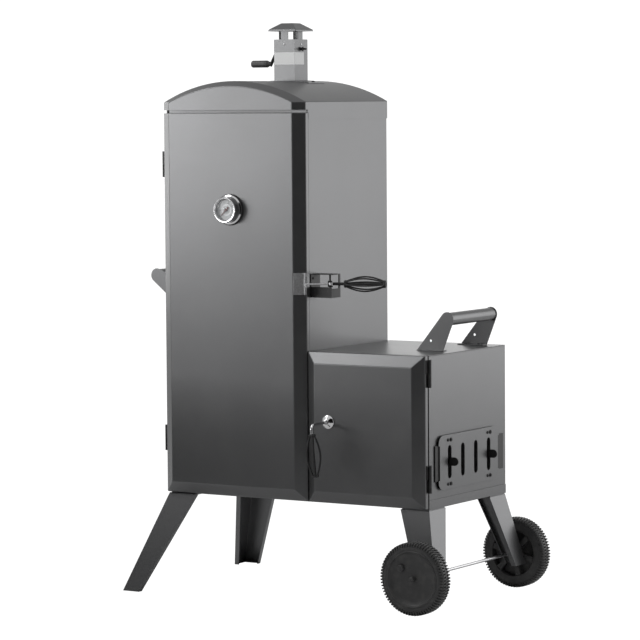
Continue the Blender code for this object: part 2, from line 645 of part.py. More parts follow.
def build_air_shutter():
    """Cover plate on stand-off pads, with the slider between it and the side panel."""
    face = FIREBOX_X1 + GAP
    centre_y, centre_z = 0.2390, 0.3790
    half_y, half_z, corner = 0.1620, 0.0710, 0.0220
    notch = 0.0450
    outline = []
    for sy, sz in ((1, -1), (1, 1), (-1, 1), (-1, -1)):
        middle = (centre_y + sy * (half_y - corner), centre_z + sz * (half_z - corner))
        start = {(1, -1): 270, (1, 1): 0, (-1, 1): 90, (-1, -1): 180}[(sy, sz)]
        rounded = arc(middle, corner, start, start + 90, 4)
        waist = [(centre_y + sy * reach, centre_z + sz * notch) for reach in (half_y, half_y - 0.006)]
        outline += rounded + waist if sz * sy < 0 else waist[::-1] + rounded
    cover_x = face + 0.0040
    cover = place("damper_cover", prism(outline, "X", cover_x, cover_x + 0.0020), "painted_steel")
    for sy in (-1, 1):
        for sz in (-1, 1):
            y, z = centre_y + sy * 0.1060, centre_z + sz * 0.0575
            boolean(cover, box(face, cover_x + 0.001, y - 0.030, y + 0.030, z - 0.0045, z + 0.0045), "UNION")
    boolean(cover, slots(SLOT_Y, SLOT_W, *SLOT_Z, (cover_x - 0.004, cover_x + 0.010)))

    half_slide, half_height = 0.1850, 0.0430
    slide_x = face + 0.0008
    slider = box(slide_x, slide_x + 0.0020, centre_y - half_slide + 0.010, centre_y + half_slide + 0.006,
                 centre_z - half_height - 0.004, centre_z + half_height + 0.004)
    slider = place("air_slider", slider, "black_steel")
    slider_slots = [y - TAB_SETBACK for y in SLOT_Y]
    boolean(slider, slots(slider_slots, SLOT_W, *SLOT_Z, (slide_x - 0.004, slide_x + 0.006)))
    radius = 0.0110
    for y in (slider_slots[0], slider_slots[-1]):
        root_x = slide_x + 0.0002
        outline = [(root_x, centre_z - radius), *arc((slide_x + 0.0160, centre_z), radius, -90, 90, 8)]
        outline.append((root_x, centre_z + radius))
        edge = y + SLOT_W / 2
        boolean(slider, prism(outline, "Y", edge - 0.0022, edge + 0.0004), "UNION")


def build_firebox_door():
    hinge = (*FIREBOX_HINGE, DOOR_Z)
    sheet = door_sheet(FIREBOX_X0, FIREBOX_X1, DOOR_Z, FIREBOX_TOP, DOOR_BEVEL)
    door = solidify(place("firebox_door", sheet, "painted_steel", hinge), SHEET)
    x, z = FIREBOX_HANDLE
    boolean(door, cylinder((x, 0, z), (0, 1, 0), 0.0046, -0.010, 0.010))

    rosette = [(0.0046, GAP), (0.0185, GAP), (0.0185, 0.0020), (0.0150, 0.0050)]
    rosette += [(0.0080, 0.0100), (0.0046, 0.0100)]
    place("firebox_rosette", turned(rosette, (x, 0, z), (0, -1, 0), 32), "bright_chrome", hinge, True)

    axis_point = (x, 0, z)
    reach, bend = FIREBOX_HANDLE_REACH, 0.0140
    fall = Vector((math.sin(FIREBOX_HANDLE_TILT), 0, -math.cos(FIREBOX_HANDLE_TILT)))
    out = Vector((0, -1, 0))
    corner = Vector((x, -reach, z))
    path = [Vector((x, 0.0470, z)), Vector((x, 0.0200, z))]
    for i in range(7):
        angle = math.pi / 2 * i / 6
        turned_corner = fall * (1 - math.cos(angle)) - out * (1 - math.sin(angle))
        path.append(corner + turned_corner * bend)
    grip_top = corner + fall * 0.0240
    path.append(grip_top)
    rod = place("firebox_handle_rod", tube_along(path, 0.0040, 12), "bright_chrome", axis_point, True)
    boolean(rod, box(x - 0.0460, x + 0.0060, 0.0430, 0.0460, z - 0.0080, z + 0.0080), "UNION")
    grip = turned(grip_profile(), grip_top + fall * GAP, fall, 20)
    place("firebox_handle_grip", grip, "black_steel", axis_point, True)


# ---------------------------------------------------------------- carrying handles
def bracket_outline():
    """Outline of a handle bracket: base along the first axis, standing out along the second."""
    tube_centre, head = (0.0920, 0.0840), 0.0190
    return [(0, 0)] + arc(tube_centre, head, 148, -22, 10) + [(0.0790, 0)]


def build_handle(name, origin, along, outwards, near, far):
    """Two plate brackets with feet and the tube between them, running along Y."""
    origin, along, outwards = Vector(origin), Vector(along), Vector(outwards)

    def at(point, y, lift=0.0):
        spot = origin + along * point[0] + outwards * (point[1] + lift)
        return (spot.x, y, spot.z)

    plate = 0.0025
    for label, y, inward in (("front", near, 1), ("rear", far, -1)):
        sections = [[at(p, y, GAP) for p in bracket_outline()] for y in (y, y + inward * plate)]
        bracket = place(f"{name}_bracket_{label}", loft(sections), "painted_steel")
        foot = [(0, 0), (0.0790, 0), (0.0790, plate), (0, plate)]
        boolean(bracket, loft([[at(p, yy, GAP) for p in foot] for yy in (y, y + inward * 0.0200)]), "UNION")
        hole_centre = at((0.0425, 0.0270), y)
        boolean(bracket, cylinder(hole_centre, (0, 1, 0), 0.0035, -0.01, 0.01, 16))
    start, end = near + plate + GAP, far - plate - GAP
    centre = at((0.0920, 0.0840), 0.0, GAP)
    tube = [(0.0150, start), (0.0168, start), (0.0168, end), (0.0150, end)]
    place(f"{name}_tube", turned(tube, centre, (0, 1, 0), 28), "painted_steel", smooth=True)


def build_handles():
    top = (0.6910, 0, FIREBOX_TOP)
    build_handle("top_handle", top, (1, 0, 0), (0, 0, 1), 0.1740, 0.4120)
    side = (0.0020, 0, 0.7530)
    build_handle("side_handle", side, (0, 0, 1), (-1, 0, 0), 0.0980, 0.3360)


# ---------------------------------------------------------------- legs, axle, wheels
def leg_section(corner, toward, width, thickness, lip):
    """L-shaped outline with a return lip on each free edge, flat in the floor plane."""
    w, t = width, thickness
    points = [(0, 0), (w, 0), (w, lip), (w - t, lip), (w - t, t), (t, t), (t, w - t)]
    points += [(lip, w - t), (lip, w), (0, w)]
    return [(corner[0] + toward[0] * a, corner[1] + toward[1] * b, corner[2]) for a, b in points]


def build_leg(name, top, foot, toward, widths, plate):
    """A splayed pressed leg that narrows towards the floor, with a plate to bolt it on."""
    thickness, lip = 0.0025, 0.0140
    sections = [leg_section(top, toward, widths[0], thickness, lip)]
    sections.append(leg_section(foot, toward, widths[1], thickness, lip))
    leg = place(name, loft(sections), "painted_steel")
    inset = 0.0008
    x0, x1 = sorted((top[0] + toward[0] * inset, top[0] + toward[0] * plate))
    y0, y1 = sorted((top[1] + toward[1] * inset, top[1] + toward[1] * plate))
    boolean(leg, box(x0, x1, y0, y1, LEG_TOP - 0.001, BASE_Z - GAP), "UNION")
    return leg


def build_legs():
    left_x, left_splay = 0.0010, 0.0920
    for label, y, side in (("front", 0.0260, 1), ("rear", BODY_BACK + 0.006, -1)):
        top = (left_x, y, LEG_TOP)
        foot = (left_x - left_splay, y - side * left_splay, 0)
        build_leg(f"leg_left_{label}", top, foot, (1, side), (0.0860, 0.0530), 0.0820)
    drop = 0.0700
    for label, y, foot_y, side in (("front", 0.0380, -0.0070, 1), ("rear", FIREBOX_BACK - 0.001, 0.4830, -1)):
        top = (FIREBOX_X1 - 0.0005, y, LEG_TOP)
        foot = (top[0] + 0.0430, foot_y, drop)
        leg = build_leg(f"leg_right_{label}", top, foot, (-1, side), (0.0860, 0.0550), 0.0820)
        boolean(leg, cylinder((WHEEL_X, 0, WHEEL_R), (0, 1, 0), AXLE_R + GAP, y - 0.2, y + 0.2, 20))


def build_running_gear():
    reach = WHEEL_W / 2 + 0.0010
    axle = cylinder((WHEEL_X, 0, WHEEL_R), (0, 1, 0), AXLE_R, WHEEL_Y[0] - reach, WHEEL_Y[1] + reach, 20)
    place("axle", axle, "zinc_steel", smooth=True)
    half, bore = WHEEL_W / 2, AXLE_R + 0.00008
    # Distances grow outwards: a hollow inner face with a hub, a rounded tread, a shallow outer dish.
    profile = [(bore, -half + 0.001), (0.0200, -half + 0.001), (0.0220, half - 0.014)]
    profile += [(0.0740, half - 0.014), (0.0770, -half), (0.0900, -half), (WHEEL_R, -half + 0.006)]
    profile += [(WHEEL_R, half - 0.006), (0.0900, half), (0.0720, half), (0.0680, half - 0.008)]
    profile += [(0.0100, half - 0.010), (bore, half - 0.010)]
    for label, y, away in (("front", WHEEL_Y[0], -1), ("rear", WHEEL_Y[1], 1)):
        centre = (WHEEL_X, y, WHEEL_R)
        place(f"wheel_{label}", turned(profile, centre, (0, away, 0), 48), "black_plastic", centre, True)


clear_scene()
FRAME = bpy.data.objects.new("smoker_frame", None)
FRAME.location = (FRAME_X, FRAME_Y, 0)
bpy.context.scene.collection.objects.link(FRAME)

build_cabinet()
build_roof()
build_racks()
build_chimney()
build_chimney_damper()
build_main_door()
build_thermometer()
build_hinges()
build_latch()
build_firebox()
build_air_shutter()
build_firebox_door()
build_handles()
build_legs()
build_running_gear()
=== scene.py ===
# %% [markdown]
# # A vertical charcoal smoker
# A tall steel cabinet holds the food, and a firebox on its right side burns charcoal and wood.
# The engineering frame is already built: every part has its place, its size and its joint.
# This lesson dresses that frame.  It rounds the bends of the sheet steel, adds the wires, the
# tread, the screws and the dial, and mixes a finish for each surface.

# %% The frame
import json
import math

import bmesh
import bpy
from mathutils import Matrix, Vector

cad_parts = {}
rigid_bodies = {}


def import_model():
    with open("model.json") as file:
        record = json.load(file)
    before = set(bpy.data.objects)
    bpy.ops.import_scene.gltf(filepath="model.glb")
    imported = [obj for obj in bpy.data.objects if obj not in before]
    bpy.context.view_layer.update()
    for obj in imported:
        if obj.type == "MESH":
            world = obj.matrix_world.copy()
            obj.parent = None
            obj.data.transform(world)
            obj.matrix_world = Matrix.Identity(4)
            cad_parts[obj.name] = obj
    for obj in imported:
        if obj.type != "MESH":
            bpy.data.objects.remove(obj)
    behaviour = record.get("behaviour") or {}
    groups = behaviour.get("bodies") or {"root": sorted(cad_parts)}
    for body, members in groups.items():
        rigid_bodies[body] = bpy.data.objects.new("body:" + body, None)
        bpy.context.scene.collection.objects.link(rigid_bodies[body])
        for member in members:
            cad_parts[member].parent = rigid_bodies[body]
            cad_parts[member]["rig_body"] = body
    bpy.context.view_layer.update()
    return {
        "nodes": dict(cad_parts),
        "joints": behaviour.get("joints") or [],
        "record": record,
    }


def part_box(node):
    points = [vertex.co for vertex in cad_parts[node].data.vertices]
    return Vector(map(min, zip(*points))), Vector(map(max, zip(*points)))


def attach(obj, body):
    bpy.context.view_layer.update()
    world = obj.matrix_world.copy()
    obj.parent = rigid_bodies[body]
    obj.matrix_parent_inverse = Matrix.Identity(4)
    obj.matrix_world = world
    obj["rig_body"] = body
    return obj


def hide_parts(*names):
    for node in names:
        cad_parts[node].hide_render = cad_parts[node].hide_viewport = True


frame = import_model()
nodes = frame["nodes"]
pivots = {joint["name"]: Vector(joint["pos_m"]) for joint in frame["joints"] if "pos_m" in joint}

# %% [markdown]
# ## The studio
# The smoker stands in a white room over a pale floor.  A wide soft box stands far off in front on
# the left, so satin paint fades from a bright top to a dark foot, and four more light the roof,
# the left side and the back.  A black card hangs where a bright reflection would flatten a
# bend: it stands between the lens and the smoker, and the slanted border of the door, which faces
# the lens, turns nearly black in it.  A low grey card keeps the foot of the door dark.  Cards and
# floor are hidden from the camera itself, so they only show as light and shade on the steel.

# %% Camera
CAMERA_PLACE = Vector((4.4427, -7.1950, 1.3250))
AZIMUTH, ELEVATION, ROLL = (math.radians(angle) for angle in (31.867, 4.022, -0.404))

forward = Vector((-math.sin(AZIMUTH), math.cos(AZIMUTH), 0)) * math.cos(ELEVATION)
forward.z = -math.sin(ELEVATION)
level = Vector((math.cos(AZIMUTH), math.sin(AZIMUTH), 0))
upright = level.cross(forward)
right = level * math.cos(ROLL) + upright * math.sin(ROLL)
up = upright * math.cos(ROLL) - level * math.sin(ROLL)

camera_data = bpy.data.cameras.new("studio_camera")
camera_data.lens, camera_data.sensor_width = 177.9, 36.0
camera = bpy.data.objects.new("studio_camera", camera_data)
axes = Matrix((right, up, -forward)).transposed().to_4x4()
camera.matrix_world = Matrix.Translation(CAMERA_PLACE) @ axes
bpy.context.scene.collection.objects.link(camera)
bpy.context.scene.camera = camera
MIDDLE = Vector((0, 0, 0.75))
print("camera", round((CAMERA_PLACE - MIDDLE).length, 2), "m from the smoker")


# %% Floor, room light and cards
def plain_material(name, colour, roughness=0.9):
    material = bpy.data.materials.new(name)
    material.use_nodes = True
    shader = material.node_tree.nodes["Principled BSDF"]
    shader.inputs["Base Color"].default_value = (*colour, 1)
    shader.inputs["Roughness"].default_value = roughness
    shader.inputs["Specular IOR Level"].default_value = 0.1
    return material


def card(name, centre, toward, width, height, material):
    """A flat card whose face looks at a point."""
    mesh = bpy.data.meshes.new(name)
    w, h = width / 2, height / 2
    mesh.from_pydata([(-w, -h, 0), (w, -h, 0), (w, h, 0), (-w, h, 0)], [], [(0, 1, 2, 3)])
    turn = (Vector(toward) - Vector(centre)).to_track_quat("Z", "Y").to_matrix().to_4x4()
    mesh.transform(Matrix.Translation(centre) @ turn)
    mesh.materials.append(material)
    obj = bpy.data.objects.new(name, mesh)
    bpy.context.scene.collection.objects.link(obj)
    return obj


def round_the_smoker(azimuth, distance, height):
    """A place in the room: azimuth in degrees, 0 in front, growing to the right."""
    a = math.radians(azimuth)
    return Vector((math.sin(a) * distance, -math.cos(a) * distance, height))


def soft_box(name, azimuth, distance, height, size, power):
    light = bpy.data.lights.new(name, "AREA")
    light.shape, light.size, light.size_y = "RECTANGLE", *size
    light.energy = power
    obj = bpy.data.objects.new(name, light)
    place = round_the_smoker(azimuth, distance, height)
    turn = (place - MIDDLE).to_track_quat("Z", "Y").to_matrix().to_4x4()
    obj.matrix_world = Matrix.Translation(place) @ turn
    bpy.context.scene.collection.objects.link(obj)


FLOOR_WIDTH = 60.0
pale = plain_material("pale_floor", (0.80, 0.80, 0.80))
floor = card("floor", (0, 0, 0), (0, 0, 1), FLOOR_WIDTH, FLOOR_WIDTH, pale)
floor.visible_camera = False
CARDS = {                               # azimuth, distance, height, size, grey
    "lens_card": (33, 2.6, 1.0, (2.3, 3.0), 0.004),
    "low_card": (-36, 1.5, 0.34, (2.6, 0.68), 0.34),
}
for name, (azimuth, distance, height, size, grey) in CARDS.items():
    material = plain_material(name + "_paper", (grey, grey, grey), 1.0)
    hung = card(name, round_the_smoker(azimuth, distance, height), (0, 0, height), *size, material)
    hung.visible_camera = False

WALL_LIGHT, SEEN_WALL = 0.60, 1.12      # what the steel gets from the walls, and what the lens sees
world = bpy.data.worlds.new("white_room")
world.use_nodes = True
room = world.node_tree.nodes["Background"]
room.inputs["Color"].default_value = (1, 1, 1, 1)
from_camera = world.node_tree.nodes.new("ShaderNodeLightPath").outputs["Is Camera Ray"]
strength = world.node_tree.nodes.new("ShaderNodeMapRange")
strength.inputs["To Min"].default_value = WALL_LIGHT
strength.inputs["To Max"].default_value = SEEN_WALL
world.node_tree.links.new(from_camera, strength.inputs["Value"])
world.node_tree.links.new(strength.outputs["Result"], room.inputs["Strength"])
bpy.context.scene.world = world
bpy.context.scene.view_settings.view_transform = "Standard"

SOFT_BOXES = {                          # azimuth, distance, height, size, power
    "far_left_box": (-44, 5.0, 1.36, (2.6, 0.8), 58),
    "high_left_box": (-56, 2.4, 3.3, (1.2, 0.9), 24),
    "left_box": (-105, 3.2, 1.5, (1.0, 1.8), 19),
    "rear_right_box": (140, 3.4, 1.3, (2.2, 2.2), 30),
    "rear_box": (212, 4.0, 1.1, (2.6, 1.2), 11),
}
for name, setting in SOFT_BOXES.items():
    soft_box(name, *setting)
print("studio ready with", len(SOFT_BOXES), "soft boxes")

# %% [markdown]
# ## A bench for shader maths
# A finish is mostly arithmetic on noise: a little lighter here, a little rougher there.  Typed as
# nodes that is hard to read, so a small class wraps a socket and lets Python's own operators add
# the Math nodes.  One more method adds any other node, with its settings and its sockets.
# `Finish` is such a bench for a material, and `Recipe`, further down, is one for geometry.


# %% Benches
class Value:
    """A number socket that can be used in arithmetic, such as 1 - mask * 0.5."""

    def __init__(self, bench, socket):
        self.bench, self.socket = bench, socket

    def __add__(self, other):
        return self.bench.maths("ADD", self, other)

    def __radd__(self, other):
        return self.bench.maths("ADD", other, self)

    def __sub__(self, other):
        return self.bench.maths("SUBTRACT", self, other)

    def __rsub__(self, other):
        return self.bench.maths("SUBTRACT", other, self)

    def __mul__(self, other):
        return self.bench.maths("MULTIPLY", self, other)

    def __rmul__(self, other):
        return self.bench.maths("MULTIPLY", other, self)

    def __rtruediv__(self, other):
        return self.bench.maths("DIVIDE", other, self)


class Bench:
    """Adds nodes to a tree: their type, their settings, then the values or links of their sockets."""

    def __init__(self, tree):
        self.tree = tree

    def add(self, kind, settings=None, sockets=None):
        node = self.tree.nodes.new(kind)
        for key, value in (settings or {}).items():
            setattr(node, key, value)
        for key, value in (sockets or {}).items():
            self.feed(node.inputs[key], value)
        return node

    def maths(self, operation, first, second):
        """One Math node on numbers or Values."""
        node = self.add("ShaderNodeMath", {"operation": operation}, {0: first, 1: second})
        return Value(self, node.outputs[0])

    def feed(self, socket, value):
        value = value.socket if isinstance(value, Value) else value
        if isinstance(value, bpy.types.NodeSocket):
            self.tree.links.new(value, socket)
        else:
            socket.default_value = value


class Finish(Bench):
    """A material with one Principled shader, and the patterns that a finish is mixed from."""

    def __init__(self, name, **constants):
        self.material = bpy.data.materials.new(name)
        self.material.use_nodes = True
        super().__init__(self.material.node_tree)
        self.shader = self.tree.nodes["Principled BSDF"]
        for label, value in constants.items():
            self.shader.inputs[label.replace("_", " ")].default_value = value
        self.place = self.add("ShaderNodeTexCoord").outputs["Object"]

    def at(self, centre=(0, 0, 0), stretch=(1, 1, 1)):
        """Object coordinates counted from a centre, and stretched."""
        shift = self.add("ShaderNodeVectorMath", {"operation": "SUBTRACT"}, {0: self.place, 1: centre})
        scaled = {0: shift.outputs[0], 1: stretch}
        return self.add("ShaderNodeVectorMath", {"operation": "MULTIPLY"}, scaled).outputs[0]

    def noise(self, scale, detail=2.0, vector=None):
        sockets = {"Vector": vector or self.place, "Scale": scale, "Detail": detail}
        return Value(self, self.add("ShaderNodeTexNoise", None, sockets).outputs["Fac"])

    def cells(self, scale, vector=None):
        """Distance to the nearest of many scattered points."""
        sockets = {"Vector": vector or self.place, "Scale": scale}
        return Value(self, self.add("ShaderNodeTexVoronoi", None, sockets).outputs["Distance"])

    def ramp(self, value, low, high, start=0.0, end=1.0):
        """Turns the stretch from low to high into start to end, and holds it beyond."""
        sockets = {"Value": value, "From Min": low, "From Max": high, "To Min": start, "To Max": end}
        return Value(self, self.add("ShaderNodeMapRange", None, sockets).outputs["Result"])

    def mix(self, factor, first, second):
        """A colour between two colours."""
        first, second = ((*c, 1) if isinstance(c, tuple) else c for c in (first, second))
        settings = {"data_type": "RGBA"}
        return self.add("ShaderNodeMix", settings, {0: factor, 6: first, 7: second}).outputs[2]

    def paint(self, **channels):
        for label, value in channels.items():
            self.feed(self.shader.inputs[label.replace("_", " ")], value)

    def bump(self, height, distance, strength=1.0):
        sockets = {"Height": height, "Distance": distance, "Strength": strength}
        self.paint(Normal=self.add("ShaderNodeBump", None, sockets).outputs["Normal"])


print("benches ready")

# %% [markdown]
# ## Powder coat
# Most of the smoker is sheet steel under a dark grey powder coat with a little metal flake.  Baked
# powder flows into a fine skin like orange peel, so light spreads in it softly.  Three noises make
# it: a broad one for the film's uneven depth, a fine one for the peel, and a very fine one for the
# flake.  A last broad noise leaves a trace of wiped dust.


# %% Painted finishes
def powder_coat():
    finish = Finish("powder_coat", Metallic=0.82)
    depth = finish.noise(3.1, 2)
    peel = finish.noise(520, 2)
    flake = finish.noise(3800, 0)
    dust = finish.ramp(finish.noise(7.3, 4), 0.46, 0.80)
    tone = depth * 0.22 + flake * 0.40 + peel * 0.20 + 0.10
    base = finish.mix(tone, (0.082, 0.083, 0.085), (0.196, 0.197, 0.200))
    finish.paint(Base_Color=finish.mix(dust * 0.06, base, (0.30, 0.295, 0.285)))
    finish.paint(Roughness=0.31 + peel * 0.06 + dust * 0.03)
    finish.bump(peel * 0.75 + flake * 0.25, 0.00016, 0.55)
    return finish.material


def stove_black():
    finish = Finish("stove_black", Metallic=0.15)
    grain = finish.noise(1500, 1)
    wear = finish.ramp(finish.noise(55, 5), 0.57, 0.70)
    tone = wear * 0.45 + grain * 0.25
    finish.paint(Base_Color=finish.mix(tone, (0.012, 0.012, 0.013), (0.065, 0.064, 0.062)))
    finish.paint(Roughness=0.42 + grain * 0.12 + wear * 0.12)
    finish.bump(grain, 0.00010, 0.6)
    return finish.material


print("powder coat and stove black mixed")

# %% [markdown]
# ## Plated metal
# The dial's bezel and the firebox handle are chrome: nearly a mirror, with fine rubbing marks that
# only show in the gloss.  The hook, the strike and the axle are zinc plated, whose crystals meet in
# faint patches.  The grates are plated wire that has browned a little where fat has baked on.


# %% Plated finishes
def chrome():
    finish = Finish("bright_chrome", Metallic=1.0)
    rub = finish.noise(260, 3, finish.at(stretch=(1, 1, 7)))
    haze = finish.noise(38, 3)
    finish.paint(Base_Color=finish.mix(haze, (0.70, 0.70, 0.71), (0.84, 0.84, 0.85)))
    finish.paint(Roughness=0.07 + rub * 0.07 + finish.ramp(haze, 0.5, 0.75) * 0.08)
    finish.bump(rub, 0.00004, 0.35)
    return finish.material


def zinc_plate():
    finish = Finish("zinc_plate", Metallic=1.0)
    crystal = finish.cells(240)
    rub = finish.noise(700, 2, finish.at(stretch=(1, 1, 9)))
    tone = crystal * 0.8 + rub * 0.3
    finish.paint(Base_Color=finish.mix(tone, (0.50, 0.50, 0.51), (0.76, 0.76, 0.77)))
    finish.paint(Roughness=0.26 + crystal * 0.16 + rub * 0.10)
    finish.bump(rub, 0.00005, 0.5)
    return finish.material


def grate_wire():
    finish = Finish("grate_wire", Metallic=1.0)
    baked = finish.ramp(finish.noise(26, 5), 0.50, 0.74)
    grain = finish.noise(900, 2)
    finish.paint(Base_Color=finish.mix(baked * 0.75, (0.56, 0.56, 0.56), (0.20, 0.15, 0.11)))
    finish.paint(Roughness=0.20 + baked * 0.30 + grain * 0.08, Metallic=1.0 - baked * 0.35)
    finish.bump(grain * 0.3 + baked * 0.7, 0.00012, 0.6)
    return finish.material


print("plated finishes mixed")

# %% [markdown]
# ## Plastic, enamel, print and glass
# The wheels are moulded in hard black plastic with a fine grain, and pale dust lies on it in
# patches.  The water pan is black enamel with white flecks.  The dial is satin print with one
# lighter ring round a darker hub, and its lens is clear with a trace of smear.


# %% Other finishes
def wheel_plastic(name, centre):
    finish = Finish(name, Metallic=0.0)
    finish.shader.inputs["Specular IOR Level"].default_value = 0.55
    grain = finish.noise(1300, 2, finish.at(centre))
    dust = finish.ramp(finish.noise(46, 4, finish.at(centre)), 0.46, 0.74)
    tone = dust * 0.30 + grain * 0.12
    finish.paint(Base_Color=finish.mix(tone, (0.034, 0.034, 0.035), (0.14, 0.137, 0.13)))
    finish.paint(Roughness=0.40 + grain * 0.14 + dust * 0.12)
    finish.bump(grain, 0.00012, 0.7)
    return finish.material


def enamel():
    finish = Finish("speckled_enamel", Metallic=0.0, Coat_Weight=0.6, Coat_Roughness=0.08)
    fleck = finish.ramp(finish.cells(230) * -1.0 + 0.17, 0.0, 0.04)
    flow = finish.noise(34, 2)
    finish.paint(Base_Color=finish.mix(fleck, (0.018, 0.019, 0.024), (0.60, 0.61, 0.62)))
    finish.paint(Roughness=0.16 + flow * 0.12)
    finish.bump(flow, 0.00030, 0.5)
    return finish.material


def dial_print(centre):
    finish = Finish("dial_print", Metallic=0.10)
    flat = finish.at(centre, (1, 0, 1))
    length = finish.add("ShaderNodeVectorMath", {"operation": "LENGTH"}, {0: flat})
    radius = Value(finish, length.outputs["Value"])
    ring = finish.ramp(radius, 0.0118, 0.0124) - finish.ramp(radius, 0.0150, 0.0156)
    hub = 1 - finish.ramp(radius, 0.0072, 0.0078)
    grain = finish.noise(2400, 1)
    tone = 0.30 + ring * 0.55 - hub * 0.20 + grain * 0.20
    finish.paint(Base_Color=finish.mix(tone, (0.34, 0.35, 0.355), (0.82, 0.83, 0.84)))
    finish.paint(Roughness=0.32 + grain * 0.12)
    finish.bump(grain, 0.00003, 0.4)
    return finish.material


def printed(name, dark, pale, scale=1900):
    """Satin ink or a paper label: two close tones and a fine tooth."""
    finish = Finish(name)
    tooth = finish.noise(scale, 2)
    finish.paint(Base_Color=finish.mix(tooth, dark, pale), Roughness=0.38 + tooth * 0.16)
    finish.bump(tooth, 0.00003, 0.5)
    return finish.material


def lens_glass():
    finish = Finish("lens_glass", IOR=1.45)
    smear = finish.ramp(finish.noise(60, 4), 0.48, 0.75)
    finish.paint(Base_Color=finish.mix(smear, (0.90, 0.94, 0.95), (0.97, 0.98, 0.98)))
    finish.paint(Roughness=0.03 + smear * 0.10, Alpha=0.07 + smear * 0.05)
    finish.material.surface_render_method = "BLENDED"
    return finish.material


STEEL, BLACK, CHROME, ZINC, WIRE = powder_coat(), stove_black(), chrome(), zinc_plate(), grate_wire()
ENAMEL, GLASS = enamel(), lens_glass()
INK = printed("black_ink", (0.012, 0.012, 0.013), (0.035, 0.035, 0.036))
RED = printed("needle_lacquer", (0.085, 0.018, 0.014), (0.15, 0.026, 0.020))
LABEL = printed("plain_label", (0.70, 0.71, 0.71), (0.86, 0.86, 0.86))
DIAL = dial_print(pivots["thermometer_needle_turn"])
FINISH_OF = {
    "painted_steel": STEEL, "black_steel": BLACK, "bright_chrome": CHROME, "zinc_steel": ZINC,
    "grate_wire": WIRE, "dial_face": DIAL, "needle_red": RED, "dial_glass": GLASS, "enamel": ENAMEL,
}
SLOT_OF = {part["node"]: part["material_slot"] for part in frame["record"]["subparts"]}
print(len(FINISH_OF), "finishes for the record's slots")

# %% [markdown]
# ## Rounding every edge
# Real sheet steel has no knife edges: a cut edge is dulled by its paint, and it catches a thin
# line of light.  The frame's parts are exact but sharp, so each one is copied, its loose triangles
# are merged into whole faces, and a Bevel modifier rounds what is sharper than a low angle.  The
# copy then stands in for the part.


# %% A copy with rounded edges
def keep(name, mesh, body, slot, stands_for=(), finish=None):
    """Makes a finished piece: at the origin, on its body, with its finish, which the slot picks when none is
    given.
    """
    mesh.name = name
    mesh.materials.clear()
    mesh.materials.append(finish or FINISH_OF[slot])
    piece = bpy.data.objects.new(name, mesh)
    bpy.context.scene.collection.objects.link(piece)
    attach(piece, body)
    for node in stands_for:
        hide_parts(node)
    return piece


def evaluated(obj):
    """The object's mesh with its modifiers applied."""
    graph = bpy.context.evaluated_depsgraph_get()
    return bpy.data.meshes.new_from_object(obj.evaluated_get(graph), depsgraph=graph)


def solid_result(obj, smooth_below=40):
    """The finished mesh of a working object, which is then removed.

    Weighted normals let the large flat faces keep their own direction, so that only the narrow
    strips of a bend turn the light.
    """
    mesh = evaluated(obj)
    mesh.shade_smooth()
    mesh.set_sharp_from_angle(angle=math.radians(smooth_below))
    shaded = bpy.data.objects.new("shading", mesh)
    bpy.context.scene.collection.objects.link(shaded)
    weighted = shaded.modifiers.new("weighted", "WEIGHTED_NORMAL")
    weighted.mode, weighted.weight, weighted.keep_sharp = "FACE_AREA", 50, True
    result = evaluated(shaded)
    for helper in (obj, shaded):
        bpy.data.objects.remove(helper)
    return result


def round_edges(obj, width, segments=2, sharper_than=30):
    bevel = obj.modifiers.new("rounded", "BEVEL")
    bevel.width, bevel.segments = width, segments
    bevel.limit_method, bevel.angle_limit = "ANGLE", math.radians(sharper_than)
    bevel.miter_outer = "MITER_ARC"
    return obj


def merged_copy(node):
    bm = bmesh.new()
    bm.from_mesh(nodes[node].data)
    bmesh.ops.remove_doubles(bm, verts=bm.verts, dist=0.00001)
    bmesh.ops.dissolve_limit(bm, angle_limit=math.radians(0.6), verts=bm.verts, edges=bm.edges)
    return bm


def loose(name, bm):
    """A working object that isn't kept, holding this bmesh."""
    mesh = bpy.data.meshes.new(name)
    bm.to_mesh(mesh)
    bm.free()
    obj = bpy.data.objects.new(name, mesh)
    bpy.context.scene.collection.objects.link(obj)
    return obj


def body_of(node):
    return nodes[node]["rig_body"]


def middle_of(node):
    low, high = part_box(node)
    return (low + high) / 2


def rounded(node, width=0.0006, finish=None):
    mesh = solid_result(round_edges(loose(node + "_work", merged_copy(node)), width))
    return keep(node + "_rounded", mesh, body_of(node), SLOT_OF[node], [node], finish)


ROUND_WIDTH = {"leg": 0.0009, "latch_bracket": 0.0004, "thermometer": 0.0003, "flue": 0.0005}
PRESSED = {"main_door", "firebox_door", "roof_cap"}
MADE_LATER = ("cooking_grate", "wheel", "latch_grip", "firebox_handle_grip", "firebox_rosette", "damper_grip",
              "thermometer_case", "thermometer_dial", "thermometer_lens", "axle", "rain_cap", "water_pan")
for node in sorted(nodes):
    if node not in PRESSED and not node.startswith(MADE_LATER):
        width = next((w for start, w in ROUND_WIDTH.items() if node.startswith(start)), 0.0006)
        rounded(node, width, BLACK if node == "latch_bracket" else None)

# %% [markdown]
# ## Pressed sheet
# The two doors, the roof and the rain cap are each pressed from one sheet, and the press leaves a
# bend of about two millimetres at every fold.  Rounding the solid can't give that, because the
# sheet is thinner than the bend.  So each is folded from a surface without thickness, its folds
# are rounded first, and Solidify then gives it its wall.

# %% Folding and thickening
BEND, SHEET = 0.0020, 0.0019
BORDER, BORDER_DEPTH = 0.030, 0.020     # the slanted border of a door or of the roof's front


def thickened(obj, thickness, even=True):
    """Gives a folded surface its wall, on the inside."""
    wall = obj.modifiers.new("wall", "SOLIDIFY")
    wall.thickness, wall.offset, wall.use_even_offset = thickness, -1.0, even
    return obj


